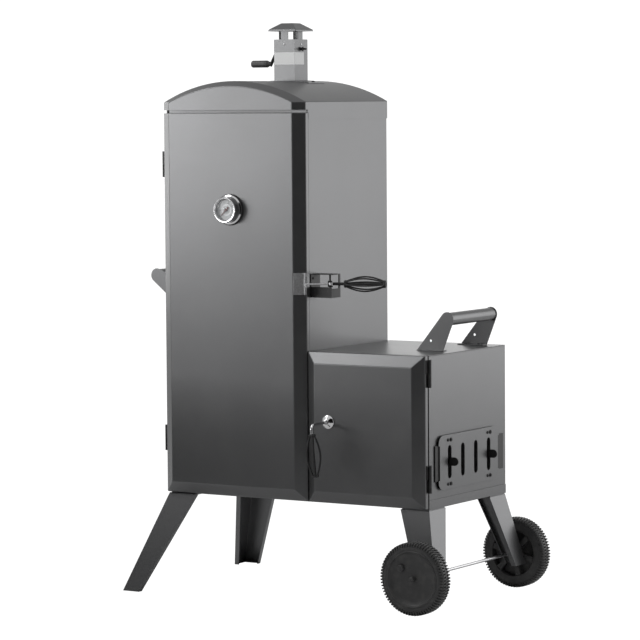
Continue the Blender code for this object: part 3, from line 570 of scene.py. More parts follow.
def pressed(node, bm, hole=None):
    work = thickened(round_edges(loose(node + "_work", bm), BEND, 4, 12), SHEET)
    if hole:
        cut = work.modifiers.new("hole", "BOOLEAN")
        cut.object, cut.solver = hole, "EXACT"
    mesh = solid_result(work, 35)
    if hole:
        bpy.data.objects.remove(hole)
    return keep(node + "_pressed", mesh, body_of(node), SLOT_OF[node], [node])


def rings_of(outlines):
    """A sheet from closed outlines, one after the other, with the first one filled."""
    bm = bmesh.new()
    rings = [[bm.verts.new(point) for point in outline] for outline in outlines]
    bm.faces.new(rings[0])
    for inner, outer in zip(rings, rings[1:]):
        for i in range(len(inner)):
            j = (i + 1) % len(inner)
            bm.faces.new((inner[j], inner[i], outer[i], outer[j]))
    bmesh.ops.recalc_face_normals(bm, faces=bm.faces)
    return bm


def door_outline(low, high, inset, y, top_border):
    """Four corners of a door, drawn in by the inset on all sides whose border allows it."""
    top = high.z - min(inset, top_border)
    corners = ((low.x + inset, low.z + inset), (high.x - inset, low.z + inset))
    corners += ((high.x - inset, top), (low.x + inset, top))
    return [(x, y, z) for x, z in corners]


def facing(bm, direction):
    """Turns the sheet over if its first face looks the wrong way."""
    bm.faces.ensure_lookup_table()
    if bm.faces[0].normal.dot(Vector(direction)) < 0:
        bmesh.ops.reverse_faces(bm, faces=bm.faces)
    return bm


for node, top_border in (("main_door", 0.0), ("firebox_door", BORDER)):
    low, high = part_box(node)
    steps = ((BORDER, low.y), (0, low.y + BORDER_DEPTH), (0, high.y))
    outlines = [door_outline(low, high, inset, y, top_border) for inset, y in steps]
    pressed(node, facing(rings_of(outlines), (0, -1, 0)))
print("two doors pressed")

# %% Roof
ROOF_RISE, FASCIA_RISE = 0.0560, 0.0420
FASCIA_DROP = 0.0260                    # the front fascia ends this far above the side bands
STEP_BACK = 0.0340                      # and the side bands start this far behind it


def roof_arch(low, high, inset, rise, steps=24):
    """(x, z) points of an arch from left to right; every arch springs from the same height."""
    half, middle = (high.x - low.x) / 2 - inset, (low.x + high.x) / 2
    radius = (half ** 2 + rise ** 2) / (2 * rise)
    centre_z = high.z - ROOF_RISE + rise - radius
    limit = math.asin(half / radius)
    angles = [limit * (2 * i / steps - 1) for i in range(steps + 1)]
    return [(middle + radius * math.sin(a), centre_z + radius * math.cos(a)) for a in angles]


def roof_sheet():
    low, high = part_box("roof_cap")
    bm = bmesh.new()

    def outline(y, inset=0, rise=ROOF_RISE):
        bottom = low.z + FASCIA_DROP
        points = [(low.x + inset, bottom), *roof_arch(low, high, inset, rise), (high.x - inset, bottom)]
        return [bm.verts.new((x, y, z)) for x, z in points]

    rows = [outline(low.y, BORDER, FASCIA_RISE)]
    rows += [outline(y) for y in (low.y + BORDER_DEPTH, low.y + STEP_BACK, high.y)]
    bm.faces.new(rows[0])
    for near, far in zip(rows, rows[1:]):
        for i in range(len(near) - 1):
            bm.faces.new((near[i], near[i + 1], far[i + 1], far[i]))
    step, back = rows[2], rows[3]
    foot = [[bm.verts.new((x, y, low.z)) for x in (low.x, high.x)] for y in (low.y + STEP_BACK, high.y)]
    low_step, low_back = foot
    bm.faces.new((low_step[0], step[0], back[0], low_back[0]))
    bm.faces.new((step[-1], low_step[1], low_back[1], back[-1]))
    bm.faces.new([low_back[0], *back, low_back[1]])
    bmesh.ops.recalc_face_normals(bm, faces=bm.faces)
    return facing(bm, (0, -1, 0))


def block(low, high):
    """A box between two corners."""
    bm = bmesh.new()
    low, high = Vector(low), Vector(high)
    size = Matrix.Diagonal((*(high - low), 1))
    bmesh.ops.create_cube(bm, size=1, matrix=Matrix.Translation((low + high) / 2) @ size)
    return bm


FLUE_HALF, HOLE_HALF = 0.0330, 0.0335
HOLE_LOW, HOLE_HIGH = 1.34, 1.41
flue_centre = middle_of("flue")
flue_centre.z = 0
hole_low = flue_centre + Vector((-HOLE_HALF, -HOLE_HALF, HOLE_LOW))
hole_high = flue_centre + Vector((HOLE_HALF, HOLE_HALF, HOLE_HIGH))
pressed("roof_cap", roof_sheet(), loose("flue_hole", block(hole_low, hole_high)))
print("roof pressed")

# %% [markdown]
# ## Recipes that repeat
# A wheel has over two hundred lugs and a grate dozens of wires, and nobody wants to place those by
# hand.  Geometry Nodes repeat one small shape along a rule.  Every recipe here is a tree built in
# the script with named inputs; `cook` sets those inputs, lets Blender evaluate the tree once, and
# keeps the plain mesh.  The bench has a method for each move that recipes share: a line, a sweep,
# a row of points, copies on points and copies round an axis.


# %% Recipes
class Recipe(Bench):
    """A Geometry Nodes tree with named inputs, which ends in Realize Instances and Set Material."""

    def __init__(self, name, inputs):
        super().__init__(bpy.data.node_groups.new(name, "GeometryNodeTree"))
        sockets = self.tree.interface
        sockets.new_socket("Geometry", in_out="INPUT", socket_type="NodeSocketGeometry")
        for label, kind in inputs.items():
            sockets.new_socket(label, in_out="INPUT", socket_type="NodeSocket" + kind)
        sockets.new_socket("Material", in_out="INPUT", socket_type="NodeSocketMaterial")
        sockets.new_socket("Geometry", in_out="OUTPUT", socket_type="NodeSocketGeometry")
        self.start = self.add("NodeGroupInput")

    def __getitem__(self, label):
        return Value(self, self.start.outputs[label])

    def out(self, kind, settings=None, sockets=None, output=0):
        return self.add(kind, settings, sockets).outputs[output]

    def vector(self, **parts):
        return self.out("ShaderNodeCombineXYZ", None, parts)

    def line(self, start, end):
        return self.out("GeometryNodeCurvePrimitiveLine", None, {"Start": start, "End": end})

    def row(self, count, start, offset):
        sockets = {"Count": count, "Start Location": start, "Offset": offset}
        return self.out("GeometryNodeMeshLine", {"mode": "OFFSET"}, sockets)

    def copies(self, points, shape, **more):
        return self.out("GeometryNodeInstanceOnPoints", None, {"Points": points, "Instance": shape, **more})

    def around(self, shape, count, phase=0.0):
        """Copies of a shape, turned about Z in even steps."""
        points = self.out("GeometryNodePoints", None, {"Count": count})
        number = Value(self, self.out("GeometryNodeInputIndex"))
        turned = self.vector(Z=(number + phase) * (2 * math.pi / count))
        return self.copies(points, shape, Rotation=turned)

    def shape_of(self, label):
        """The geometry of an object input."""
        return self.out("GeometryNodeObjectInfo", None, {"Object": self[label]}, "Geometry")

    def moved(self, shape, offset):
        return self.out("GeometryNodeTransform", None, {"Geometry": shape, "Translation": offset})

    def swept(self, curve, radius, sides):
        ring = self.out("GeometryNodeCurvePrimitiveCircle", None, {"Radius": radius, "Resolution": sides})
        sockets = {"Curve": curve, "Profile Curve": ring, "Fill Caps": True}
        return self.out("GeometryNodeCurveToMesh", None, sockets)

    def joined(self, *shapes):
        join = self.add("GeometryNodeJoinGeometry")
        for shape in shapes:
            self.tree.links.new(shape, join.inputs[0])
        return join.outputs[0]

    def finish(self, shape):
        real = self.out("GeometryNodeRealizeInstances", None, {0: shape})
        done = self.out("GeometryNodeSetMaterial", None, {"Geometry": real, "Material": self["Material"]})
        self.add("NodeGroupOutput", None, {0: done})
        return self


def cook(recipe, place, host=None, smooth_below=40, **inputs):
    """Runs a recipe once and returns its plain mesh, moved into place."""
    mesh = host or bpy.data.meshes.new("empty_host")
    obj = bpy.data.objects.new("cooking", mesh)
    bpy.context.scene.collection.objects.link(obj)
    modifier = obj.modifiers.new("recipe", "NODES")
    modifier.node_group = recipe.tree
    named = {label.replace("_", " "): value for label, value in inputs.items()}
    for socket in recipe.tree.interface.items_tree:
        if socket.in_out == "INPUT" and socket.name in named:
            modifier[socket.identifier] = named.pop(socket.name)
    assert not named, named
    result = solid_result(obj, smooth_below)
    result.transform(place)
    return result


print("recipe bench ready")

# %% [markdown]
# ## Turned shapes
# Screw heads, collars, hubs and the dial's bezel are turned on a lathe: a profile of radius and
# height goes round an axis.  A profile row may name a number of flats, which makes that ring a
# hexagon: that is all a nut or a socket needs.


# %% Lathe
def lathe(profile, sides=24):
    """Turns (radius, height) or (radius, height, flats) rows about Z.

    A profile that starts off the axis closes on itself.
    """
    bm = bmesh.new()

    def ring(radius, height, flats=0):
        if radius == 0:
            return [bm.verts.new((0, 0, height))]
        points = []
        for i in range(sides):
            angle = 2 * math.pi * i / sides
            reach = radius
            if flats:
                wedge = 2 * math.pi / flats
                reach = radius * math.cos(wedge / 2) / math.cos(angle % wedge - wedge / 2)
            points.append(bm.verts.new((reach * math.cos(angle), reach * math.sin(angle), height)))
        return points

    rings = [ring(*row) for row in profile]
    pairs = list(zip(rings, rings[1:]))
    if profile[0][0] > 0:
        pairs.append((rings[-1], rings[0]))
    faces = []
    for low, high in pairs:
        for i in range(sides):
            j = (i + 1) % sides
            corners = [low[i % len(low)], low[j % len(low)], high[j % len(high)], high[i % len(high)]]
            faces.append(bm.faces.new(list(dict.fromkeys(corners))))
    bmesh.ops.recalc_face_normals(bm, faces=faces)
    return bm


def aimed(origin, direction):
    """The matrix that stands a turned shape on `origin` with its Z axis along `direction`."""
    turn = Vector((0, 0, 1)).rotation_difference(Vector(direction)).to_matrix().to_4x4()
    return Matrix.Translation(origin) @ turn


def turned_piece(name, profile, place, sides, body, slot, stands_for=(), finish=None):
    """A finished piece from a lathe profile, stood in its place."""
    mesh = solid_result(loose(name + "_work", lathe(profile, sides)), 35)
    mesh.transform(place)
    return keep(name, mesh, body, slot, stands_for, finish)


print("lathe ready")

# %% [markdown]
# ## Screws, nuts and rivets
# The frame leaves out small fasteners, yet they are what tells the eye how big a thing is.  Each
# field of them is a cloud of points that carry the direction they face.  The recipe sets a head on
# every point, lines it up with its direction and gives it a turn of its own, as hand-driven screws
# have.

# %% The fastener recipe
field = Recipe("fastener_field", {"Head": "Object", "Size": "Float", "Seed": "Int"})
facing_of = field.out("GeometryNodeInputNamedAttribute", {"data_type": "FLOAT_VECTOR"}, {"Name": "facing"})
stand = field.out("FunctionNodeAlignRotationToVector", {"axis": "Z"}, {"Vector": facing_of})
turn = field.add("FunctionNodeRandomValue", {"data_type": "FLOAT"}, {"Seed": field["Seed"]})
spin = field.vector(Z=Value(field, turn.outputs[1]) * (2 * math.pi))
spun = field.out("FunctionNodeRotateRotation", {"rotation_space": "LOCAL"}, {0: stand, 1: spin})
spots = field.start.outputs[0]
field.finish(field.copies(spots, field.shape_of("Head"), Rotation=spun, Scale=field["Size"]))


def head_object(name, profile, sides=18):
    obj = loose(name, lathe(profile, sides))
    obj.data.shade_smooth()
    obj.data.set_sharp_from_angle(angle=math.radians(35))
    obj.hide_render = True
    return obj


SINK = -0.0004                          # heads start this far inside the sheet that they hold
HEAD_ROWS = {
    "button": [(0, 0.0012, 6), (0.0011, 0.0012, 6), (0.0012, 0.0026, 6), (0.0024, 0.0024), (0.0038, 0.0014),
               (0.0042, 0.0004), (0.0042, SINK), (0, SINK)],
    "hex": [(0, 0.0044), (0.0017, 0.0044), (0.0020, 0.0041), (0.0020, 0.0032), (0.0040, 0.0032),
            (0.0048, 0.0027, 6), (0.0048, 0.0004, 6), (0.0060, 0.0004), (0.0060, SINK), (0, SINK)],
    "rivet": [(0, 0.0015), (0.0012, 0.0014), (0.0023, 0.0009), (0.0028, 0.0002), (0.0028, SINK), (0, SINK)],
}
HEADS = {kind: head_object(kind + "_head", rows) for kind, rows in HEAD_ROWS.items()}


def fasteners(name, kind, spots, size, seed, slot="black_steel"):
    """Sets one head on each (point, direction) of the standing body."""
    host = bpy.data.meshes.new("spots")
    host.from_pydata([tuple(point) for point, _ in spots], [], [])
    facing_data = host.attributes.new("facing", "FLOAT_VECTOR", "POINT")
    facing_data.data.foreach_set("vector", [value for _, direction in spots for value in direction])
    settings = {"Head": HEADS[kind], "Size": size, "Seed": seed, "Material": FINISH_OF[slot]}
    return keep(name, cook(field, Matrix(), host, 35, **settings), "root", slot)


FRONT, BACK, LEFT, RIGHT, TOP = (
    Vector(way) for way in ((0, -1, 0), (0, 1, 0), (-1, 0, 0), (1, 0, 0), (0, 0, 1)))
print(len(HEADS), "kinds of head")

# %% Where they go
COVER_BOLT_Y, COVER_BOLT_Z, BOLT_TO_NUT = 0.106, 0.0575, 0.0150
cover_face, cover_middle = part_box("damper_cover")[1].x, middle_of("damper_cover")
spots = []
for side in (-1, 1):
    for tier in (-1, 1):
        for shift in (-BOLT_TO_NUT / 2, BOLT_TO_NUT / 2):
            y = cover_middle.y + side * COVER_BOLT_Y + shift
            spots.append((Vector((cover_face, y, cover_middle.z + tier * COVER_BOLT_Z)), RIGHT))
fasteners("shutter_bolts", "button", spots[::2], 1.05, 3)
fasteners("shutter_nuts", "hex", spots[1::2], 0.95, 4)

FLANGE_BOLT_X, FLANGE_TOP = 0.071, 0.0026
roof_low, roof_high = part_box("roof_cap")
roof_middle = (roof_low.x + roof_high.x) / 2
roof_radius = (((roof_high.x - roof_low.x) / 2) ** 2 + ROOF_RISE ** 2) / (2 * ROOF_RISE)
spots = []
for side in (-1, 1):
    x = flue_centre.x + side * FLANGE_BOLT_X
    roof_z = roof_high.z - roof_radius + math.sqrt(roof_radius ** 2 - (x - roof_middle) ** 2)
    slope = Vector((x - flue_centre.x, 0, roof_radius)).normalized()
    spots.append((Vector((x, flue_centre.y, roof_z + FLANGE_TOP)), slope))
fasteners("flue_bolts", "button", spots, 1.1, 5)

RIVET_Z = 1.4700
spots = [(flue_centre + Vector((*(d.xy * FLUE_HALF), RIVET_Z)), d) for d in (FRONT, BACK, LEFT, RIGHT)]
fasteners("cap_rivets", "rivet", spots, 1.15, 6, "zinc_steel")

FOOT_BOLTS, FOOT_INSET, FOOT_SHEET = (0.020, 0.060), 0.013, 0.0025
spots = []
for handle in ("top", "side"):
    for end in ("front", "rear"):
        low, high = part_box(f"{handle}_handle_bracket_{end}")
        inner = low.y + FOOT_INSET if end == "front" else high.y - FOOT_INSET
        for along in FOOT_BOLTS:
            if handle == "top":
                spots.append((Vector((low.x + along, inner, low.z + FOOT_SHEET)), TOP))
            else:
                spots.append((Vector((high.x - FOOT_SHEET, inner, low.z + along)), LEFT))
fasteners("handle_foot_bolts", "button", spots, 1.0, 7)

LEAF = 0.0022                           # a firebox hinge leaf's thickness
MAIN_LEAF_FACE = 0.0082                 # a main hinge leaf's face, counted from its knuckle's far side
SCREW_INSET = 0.0060
spots = []
for hinge in ("main_hinge_lower", "main_hinge_upper", "firebox_hinge_lower", "firebox_hinge_upper"):
    low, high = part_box(hinge + "_fixed")
    out, face = (LEFT, MAIN_LEAF_FACE) if hinge.startswith("main") else (RIGHT, LEAF)
    for share in (0.2, 0.8):
        z = low.z + (high.z - low.z) * share
        spots.append((Vector((low.x + face, high.y - SCREW_INSET, z)), out))
fasteners("hinge_screws", "button", spots, 0.70, 9)

bracket_low, bracket_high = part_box("latch_bracket")
spots = [(Vector((bracket_low.x + 0.002, bracket_low.y + 0.010, z)), RIGHT) for z in (0.814, 0.852)]
spots.append((Vector((bracket_high.x, bracket_high.y - 0.006, 0.834)), RIGHT))
fasteners("latch_screws", "button", spots, 0.8, 10)
print("fasteners set")

# %% [markdown]
# ## Grates of wire
# A cooking grate is a rectangle of thick wire with thinner wires welded across it, and two
# stiffeners below.  The rule is plain: one straight wire, repeated along a line.

# %% Cooking grates
RIM_CORNER = 0.012
BRACE_SHARE = 0.44                      # the braces' distance, as a share of the depth
inputs = {"Width": "Float", "Depth": "Float", "Wires": "Int", "Wire": "Float", "Rim": "Float"}
rack = Recipe("wire_rack", inputs)
left, right_end = rack.vector(X=rack["Width"] * -0.5), rack.vector(X=rack["Width"] * 0.5)
near, far = rack.vector(Y=rack["Depth"] * -0.5), rack.vector(Y=rack["Depth"] * 0.5)
one_wire = rack.swept(rack.line(near, far), rack["Wire"], 8)
pitch = rack["Width"] * (1.0 / (rack["Wires"] - 1))
wires = rack.copies(rack.row(rack["Wires"], left, rack.vector(X=pitch)), one_wire)
sockets = {"Width": rack["Width"], "Height": rack["Depth"]}
outline = rack.out("GeometryNodeCurvePrimitiveQuadrilateral", None, sockets)
sockets = {"Curve": outline, "Radius": RIM_CORNER, "Count": 6}
rim = rack.swept(rack.out("GeometryNodeFilletCurve", {"mode": "POLY"}, sockets), rack["Rim"], 10)
brace = rack.swept(rack.line(left, right_end), rack["Rim"] * 0.8, 8)
brace_start = rack.vector(Y=rack["Depth"] * (-BRACE_SHARE / 2), Z=rack["Rim"] * -0.5)
brace_row = rack.row(2, brace_start, rack.vector(Y=rack["Depth"] * BRACE_SHARE))
rack.finish(rack.joined(wires, rim, rack.copies(brace_row, brace)))

WIRE_R, RIM_R, GRATE_WIRES = 0.0014, 0.0024, 33
for node in ("cooking_grate_lower", "cooking_grate_middle", "cooking_grate_upper"):
    low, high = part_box(node)
    size = high - low - Vector((2 * RIM_R, 2 * RIM_R, 0))
    centre = Vector((*middle_of(node).xy, low.z + RIM_R))
    mesh = cook(rack, Matrix.Translation(centre), Width=size.x, Depth=size.y, Wires=GRATE_WIRES,
                Wire=WIRE_R, Rim=RIM_R, Material=WIRE)
    keep(node + "_wires", mesh, body_of(node), "grate_wire", [node])
print("three grates of", GRATE_WIRES, "wires")

# %% [markdown]
# ## Caged grips
# Both grips are spring-cool handles: wires bow out between two collars so that the hand holds
# mostly air.  One wire is a straight line pushed sideways by a sine, and the recipe repeats it
# round a central rod.  A small ball closes each end of a wire, and the six balls give a collar its
# lobes.

# %% The caged grip
inputs = {"Length": "Float", "Belly": "Float", "Collar": "Float", "Wire": "Float", "Wires": "Int"}
cage = Recipe("caged_grip", inputs)
origin, line_end = cage.vector(), cage.vector(Z=cage["Length"])
line = cage.out("GeometryNodeResampleCurve", None, {"Curve": cage.line(origin, line_end), "Count": 25})
along = Value(cage, cage.out("GeometryNodeSplineParameter"))
bow = cage.maths("SINE", along * math.pi, 0.0)
push = cage.vector(X=cage["Collar"] + (cage["Belly"] - cage["Collar"]) * bow)
bowed = cage.out("GeometryNodeSetPosition", None, {"Geometry": line, "Offset": push})
sockets = {"Segments": 12, "Rings": 8, "Radius": cage["Wire"] * 1.9}
ball = cage.out("GeometryNodeMeshUVSphere", None, sockets)
balls = [cage.moved(ball, cage.vector(X=cage["Collar"])),
         cage.moved(ball, cage.vector(X=cage["Collar"], Z=cage["Length"]))]
one = cage.joined(cage.swept(bowed, cage["Wire"], 10), *balls)
rod = cage.swept(cage.line(origin, line_end), cage["Wire"] * 1.5, 12)
cage.finish(cage.joined(cage.around(one, cage["Wires"]), rod))

WIRES, BELLY, CAGE_WIRE, CAGE_COLLAR = 6, 0.0198, 0.0021, 0.0066
GRIP_LENGTH, WIRE_INSET, COLLAR_LENGTH = 0.1120, 0.0034, 0.0056
COLLAR_ROWS = [(0.0026, 0.0), (0.0082, 0.0), (0.0093, 0.0012), (0.0093, 0.0048), (0.0080, 0.0060),
               (0.0026, 0.0060)]


def pour(bm, source):
    """Adds a copy of one bmesh to another."""
    mesh = bpy.data.meshes.new("poured")
    source.to_mesh(mesh)
    source.free()
    bm.from_mesh(mesh)


def caged_grip(name, start, direction, node):
    start, direction = Vector(start), Vector(direction)
    mesh = cook(cage, aimed(start + direction * WIRE_INSET, direction), Length=GRIP_LENGTH - 2 * WIRE_INSET,
                Belly=BELLY, Collar=CAGE_COLLAR, Wire=CAGE_WIRE, Wires=WIRES, Material=BLACK)
    bm = bmesh.new()
    bm.from_mesh(mesh)
    for offset in (0.0, GRIP_LENGTH - COLLAR_LENGTH):
        collar = lathe(COLLAR_ROWS, 32)
        collar.transform(aimed(start + direction * offset, direction))
        pour(bm, collar)
    return keep(name, solid_result(loose(name, bm)), body_of(node), "black_steel", [node])


LATCH_SWEEP, FIRE_TILT = math.radians(18), math.radians(5)
LATCH_REACH, FIRE_REACH = 0.0383, 0.0243        # from the joint to the grip
ROD_R = 0.0040
latch_axis = Vector((math.cos(LATCH_SWEEP), math.sin(LATCH_SWEEP), 0))
latch_start = pivots["latch_lever_turn"] + latch_axis * LATCH_REACH
caged_grip("latch_grip_cage", latch_start, latch_axis, "latch_grip")
fire_axis = Vector((math.sin(FIRE_TILT), 0, -math.cos(FIRE_TILT)))
fire_start = pivots["firebox_handle_turn"].copy()
fire_start.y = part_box("firebox_handle_rod")[0].y + ROD_R
caged_grip("firebox_grip_cage", fire_start + fire_axis * FIRE_REACH, fire_axis, "firebox_handle_grip")
print("two caged grips with", WIRES, "wires each")

# %% [markdown]
# ## Wheels
# Each wheel is moulded in one piece: a knobbly tread in three rows, a smooth dish outside with a
# hub cap and one small boss, and an inner face with six pockets between ribs.  The rings are
# turned; a lug or a rib is one shape each, and a recipe carries that shape round the axle.

# %% Wheels
carousel = Recipe("round_the_axle", {"Piece": "Object", "Count": "Int", "Phase": "Float"})
carousel.finish(carousel.around(carousel.shape_of("Piece"), carousel["Count"], carousel["Phase"]))

WHEEL_R, WHEEL_W, TREAD = 0.0950, 0.0440, 0.0040
HALF_W = WHEEL_W / 2
LUG_FOOT = WHEEL_R - TREAD - 0.0010
LUGS, RIBS = 72, 6
POCKET_DEPTH, DISH_DEPTH, BOSS_R = 0.0190, 0.0130, 0.0440


def bridged(sections):
    """A closed shape from outlines with the same number of corners, one after the other."""
    bm = bmesh.new()
    rings = [[bm.verts.new(point) for point in section] for section in sections]
    bm.faces.new(rings[0])
    bm.faces.new(rings[-1])
    for low, high in zip(rings, rings[1:]):
        for i in range(len(low)):
            j = (i + 1) % len(low)
            bm.faces.new((low[i], low[j], high[j], high[i]))
    bmesh.ops.recalc_face_normals(bm, faces=bm.faces)
    return bm


def centre_lug(half_length=0.0068, half_width=0.0021):
    """A lug of the middle row: a block whose top edges are trimmed twice."""
    sections = []
    for r, trim in ((LUG_FOOT, 0), (WHEEL_R - 0.0008, 0.0003), (WHEEL_R, 0.0009)):
        w, z = half_width - trim, half_length - trim * 0.6
        sections.append([(r, -w, -z), (r, w, -z), (r, w, z), (r, -w, z)])
    return loose("centre_lug", bridged(sections))


def shoulder_lug(name, side):
    """A lug that runs from the tread over the shoulder on to the side wall."""
    foot, top = 0.0024, 0.0018
    rows = [(LUG_FOOT, 0.0085, foot), (WHEEL_R, 0.0095, top), (WHEEL_R - 0.0004, HALF_W - 0.0060, top)]
    rows += [(WHEEL_R - 0.0042, HALF_W - 0.0012, top), (WHEEL_R - 0.0095, HALF_W, top)]
    rows.append((WHEEL_R - 0.0115, HALF_W - 0.0030, foot))
    sections = [[(r, sign * half_width, side * z) for r, z, half_width in rows] for sign in (-1, 1)]
    return loose(name, bridged(sections))


def rib():
    """A rib between two pockets of the inner face, thicker towards the rim."""
    foot_z, top_z = -HALF_W + POCKET_DEPTH, -HALF_W + 0.0008
    sections = []
    for r, foot, top in ((0.0205, 0.0050, 0.0042), (0.0615, 0.0088, 0.0080)):
        sections.append([(r, -foot, foot_z), (r, foot, foot_z), (r, top, top_z), (r, -top, top_z)])
    return loose("rib", bridged(sections))


def boss():
    """A small round boss with a dimple, on the dish between hub and rim."""
    rows = [(0, 0.0085), (0.0020, 0.0085), (0.0024, 0.0078), (0.0030, 0.0078), (0.0034, 0.0085)]
    rows += [(0.0080, 0.0082), (0.0094, 0.0070), (0.0104, 0.0), (0, 0.0)]
    obj = loose("boss", lathe(rows, 32))
    obj.data.transform(Matrix.Translation((BOSS_R, 0, HALF_W - DISH_DEPTH + 0.0002)))
    return obj


def hub_cap():
    """The plain cap over the axle's end."""
    obj = loose("cap", lathe([(0, 0.0150), (0.0050, 0.0146), (0.0066, 0.0130), (0.0074, 0.0), (0, 0.0)], 28))
    obj.data.transform(Matrix.Translation((0, 0, HALF_W - DISH_DEPTH)))
    return obj


def wheel_profile():
    """Turned rings of the wheel: its outer face, its tread, its inner face with the ring of pockets."""
    core, shoulder = WHEEL_R - TREAD, 0.0085
    outer = [(0.0042, DISH_DEPTH), (0.0300, 0.0128), (0.0560, 0.0105), (0.0660, 0.0065), (0.0690, 0.0030)]
    outer += [(0.0700, 0.0004), (0.0712, 0.0), (0.0730, 0.0002), (0.0738, 0.0014), (0.0750, 0.0014)]
    outer += [(0.0758, 0.0004), (0.0800, 0.0006), (0.0850, 0.0022), (core - 0.0020, 0.0050), (core, shoulder)]
    inner = [(core, shoulder), (core - 0.0020, 0.0050), (0.0850, 0.0022), (0.0800, 0.0006), (0.0640, 0.0)]
    inner += [(0.0620, 0.0012), (0.0606, 0.0180), (0.0230, 0.0180), (0.0212, 0.0010), (0.0200, 0.0)]
    inner += [(0.0120, 0.0), (0.0108, 0.0010), (0.0104, 0.0060), (0.0042, 0.0060)]
    rows = [(r, HALF_W - depth) for r, depth in outer]
    rows.append((core + 0.0006, 0.0))
    return rows + [(r, depth - HALF_W) for r, depth in inner]


def build_wheel(node, pivot, outward, turn, finish):
    bm = lathe(wheel_profile(), 96)
    pieces = [(rib(), RIBS, 0.0), (boss(), 1, 0.0), (hub_cap(), 1, 0.0)]
    pieces += [(shoulder_lug("outer_lug", 1), LUGS, 0.0), (shoulder_lug("inner_lug", -1), LUGS, 0.0)]
    pieces.append((centre_lug(), LUGS, 0.5))
    for piece, count, phase in pieces:
        settings = {"Piece": piece, "Count": count, "Phase": phase, "Material": finish}
        bm.from_mesh(cook(carousel, Matrix(), None, 25, **settings))
        bpy.data.objects.remove(piece)
    mesh = solid_result(loose(node + "_work", bm), 30)
    mesh.transform(aimed(pivot, outward) @ Matrix.Rotation(math.radians(turn), 4, "Z"))
    return keep(node + "_moulded", mesh, body_of(node), "black_plastic", [node], finish)


for end, outward, turn in (("front", FRONT, 144.0), ("rear", BACK, 15.0)):
    node, pivot = "wheel_" + end, pivots[end + "_wheel_spin"]
    build_wheel(node, pivot, outward, turn, wheel_plastic(node + "_plastic", pivot))
print("two wheels with", 3 * LUGS, "lugs each")

# %% [markdown]
# ## The thermometer
# A dial thermometer sits in the door: a dark seat, a chrome bezel with a stepped wall, a printed
# dial, a dark red needle and a domed lens.  The ticks are small blocks set round by a loop, and
# the figures are plain text turned into a mesh.

# %% Dial and bezel
SKIN = 0.0003                           # a turned piece starts this far off the sheet behind it
seat = pivots["thermometer_needle_turn"].copy()
seat.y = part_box("main_door")[0].y - SKIN
at_seat = aimed(seat, FRONT)
gasket = [(0.0300, 0.0), (0.0408, 0.0), (0.0415, 0.0008), (0.0415, 0.0026), (0.0404, 0.0034)]
gasket.append((0.0300, 0.0034))
turned_piece("thermometer_seat", gasket, at_seat, 72, "main_door", "black_steel")
bezel = [(0.0283, 0.0020), (0.0372, 0.0028), (0.0392, 0.0042), (0.0388, 0.0060), (0.0352, 0.0082)]
bezel += [(0.0340, 0.0120), (0.0334, 0.0205), (0.0342, 0.0222), (0.0341, 0.0262), (0.0334, 0.0290)]
bezel += [(0.0324, 0.0300), (0.0304, 0.0300), (0.0295, 0.0296), (0.0285, 0.0282), (0.0283, 0.0250)]
turned_piece("thermometer_bezel", bezel, at_seat, 96, "main_door", "bright_chrome", ["thermometer_case"])
stem = [(0, -0.1180), (0.0018, -0.1174), (0.0030, -0.1150), (0.0030, -0.0120), (0.0058, -0.0110, 6)]
stem += [(0.0058, -0.0022, 6), (0.0064, -0.0018), (0.0064, 0.0), (0, 0.0)]
turned_piece("thermometer_stem", stem, at_seat, 36, "main_door", "bright_chrome")
DIAL_FACE = 0.0186
dial = [(0.0020, 0.0060), (0.0279, 0.0060), (0.0279, 0.0182), (0.0276, DIAL_FACE), (0.0020, DIAL_FACE)]
turned_piece("thermometer_face", dial, at_seat, 72, "main_door", "dial_face", ["thermometer_dial"])
lens = [(0, 0.0276), (0.0100, 0.0274), (0.0200, 0.0268), (0.0280, 0.0258), (0.0280, 0.0250), (0.0200, 0.0259)]
lens += [(0.0100, 0.0264), (0, 0.0266)]
turned_piece("thermometer_glass", lens, at_seat, 72, "main_door", "dial_glass", ["thermometer_lens"])
print("thermometer turned")

# %% Ticks and figures
SCALE_START, SCALE_SWEEP = -135.0, 270.0        # degrees clockwise from upright
FIGURES, TICKS_PER_FIGURE, FIGURE_STEP = 8, 4, 50
TICK_R, FIGURE_R, FIGURE_SIZE, INK_DEPTH = 0.0262, 0.0190, 0.0042, 0.00008
LONG_TICK, SHORT_TICK = (0.0042, 0.0008), (0.0024, 0.0004)      # length and width


def on_dial(angle, radius, height=0.0):
    """A matrix that moves a thing on to the dial's face."""
    a = math.radians(angle)
    spot = Vector((math.sin(a) * radius, -DIAL_FACE - height, math.cos(a) * radius))
    return Matrix.Translation(seat + spot)


bm = bmesh.new()
TICKS = TICKS_PER_FIGURE * (FIGURES - 1)
for i in range(TICKS + 1):
    angle = SCALE_START + SCALE_SWEEP * i / TICKS
    length, width = SHORT_TICK if i % TICKS_PER_FIGURE else LONG_TICK
    tick = block((-width / 2, -0.00012, -length), (width / 2, 0.0001, 0))
    tick.transform(on_dial(angle, TICK_R) @ Matrix.Rotation(math.radians(angle), 4, "Y"))
    pour(bm, tick)
for i in range(FIGURES):
    text = bpy.data.curves.new("figure", "FONT")
    text.body, text.size, text.extrude = str(FIGURE_STEP * i), FIGURE_SIZE, INK_DEPTH
    text.align_x, text.align_y = "CENTER", "CENTER"
    figure = bpy.data.objects.new("figure", text)
    bpy.context.scene.collection.objects.link(figure)
    part = solid_result(figure)
    angle = SCALE_START + SCALE_SWEEP * i / (FIGURES - 1)
    part.transform(on_dial(angle, FIGURE_R, INK_DEPTH) @ Matrix.Rotation(math.radians(90), 4, "X"))
    bm.from_mesh(part)
keep("thermometer_print", solid_result(loose("print_work", bm)), "main_door", "dial_face", (), INK)
print(FIGURES, "figures on the dial")

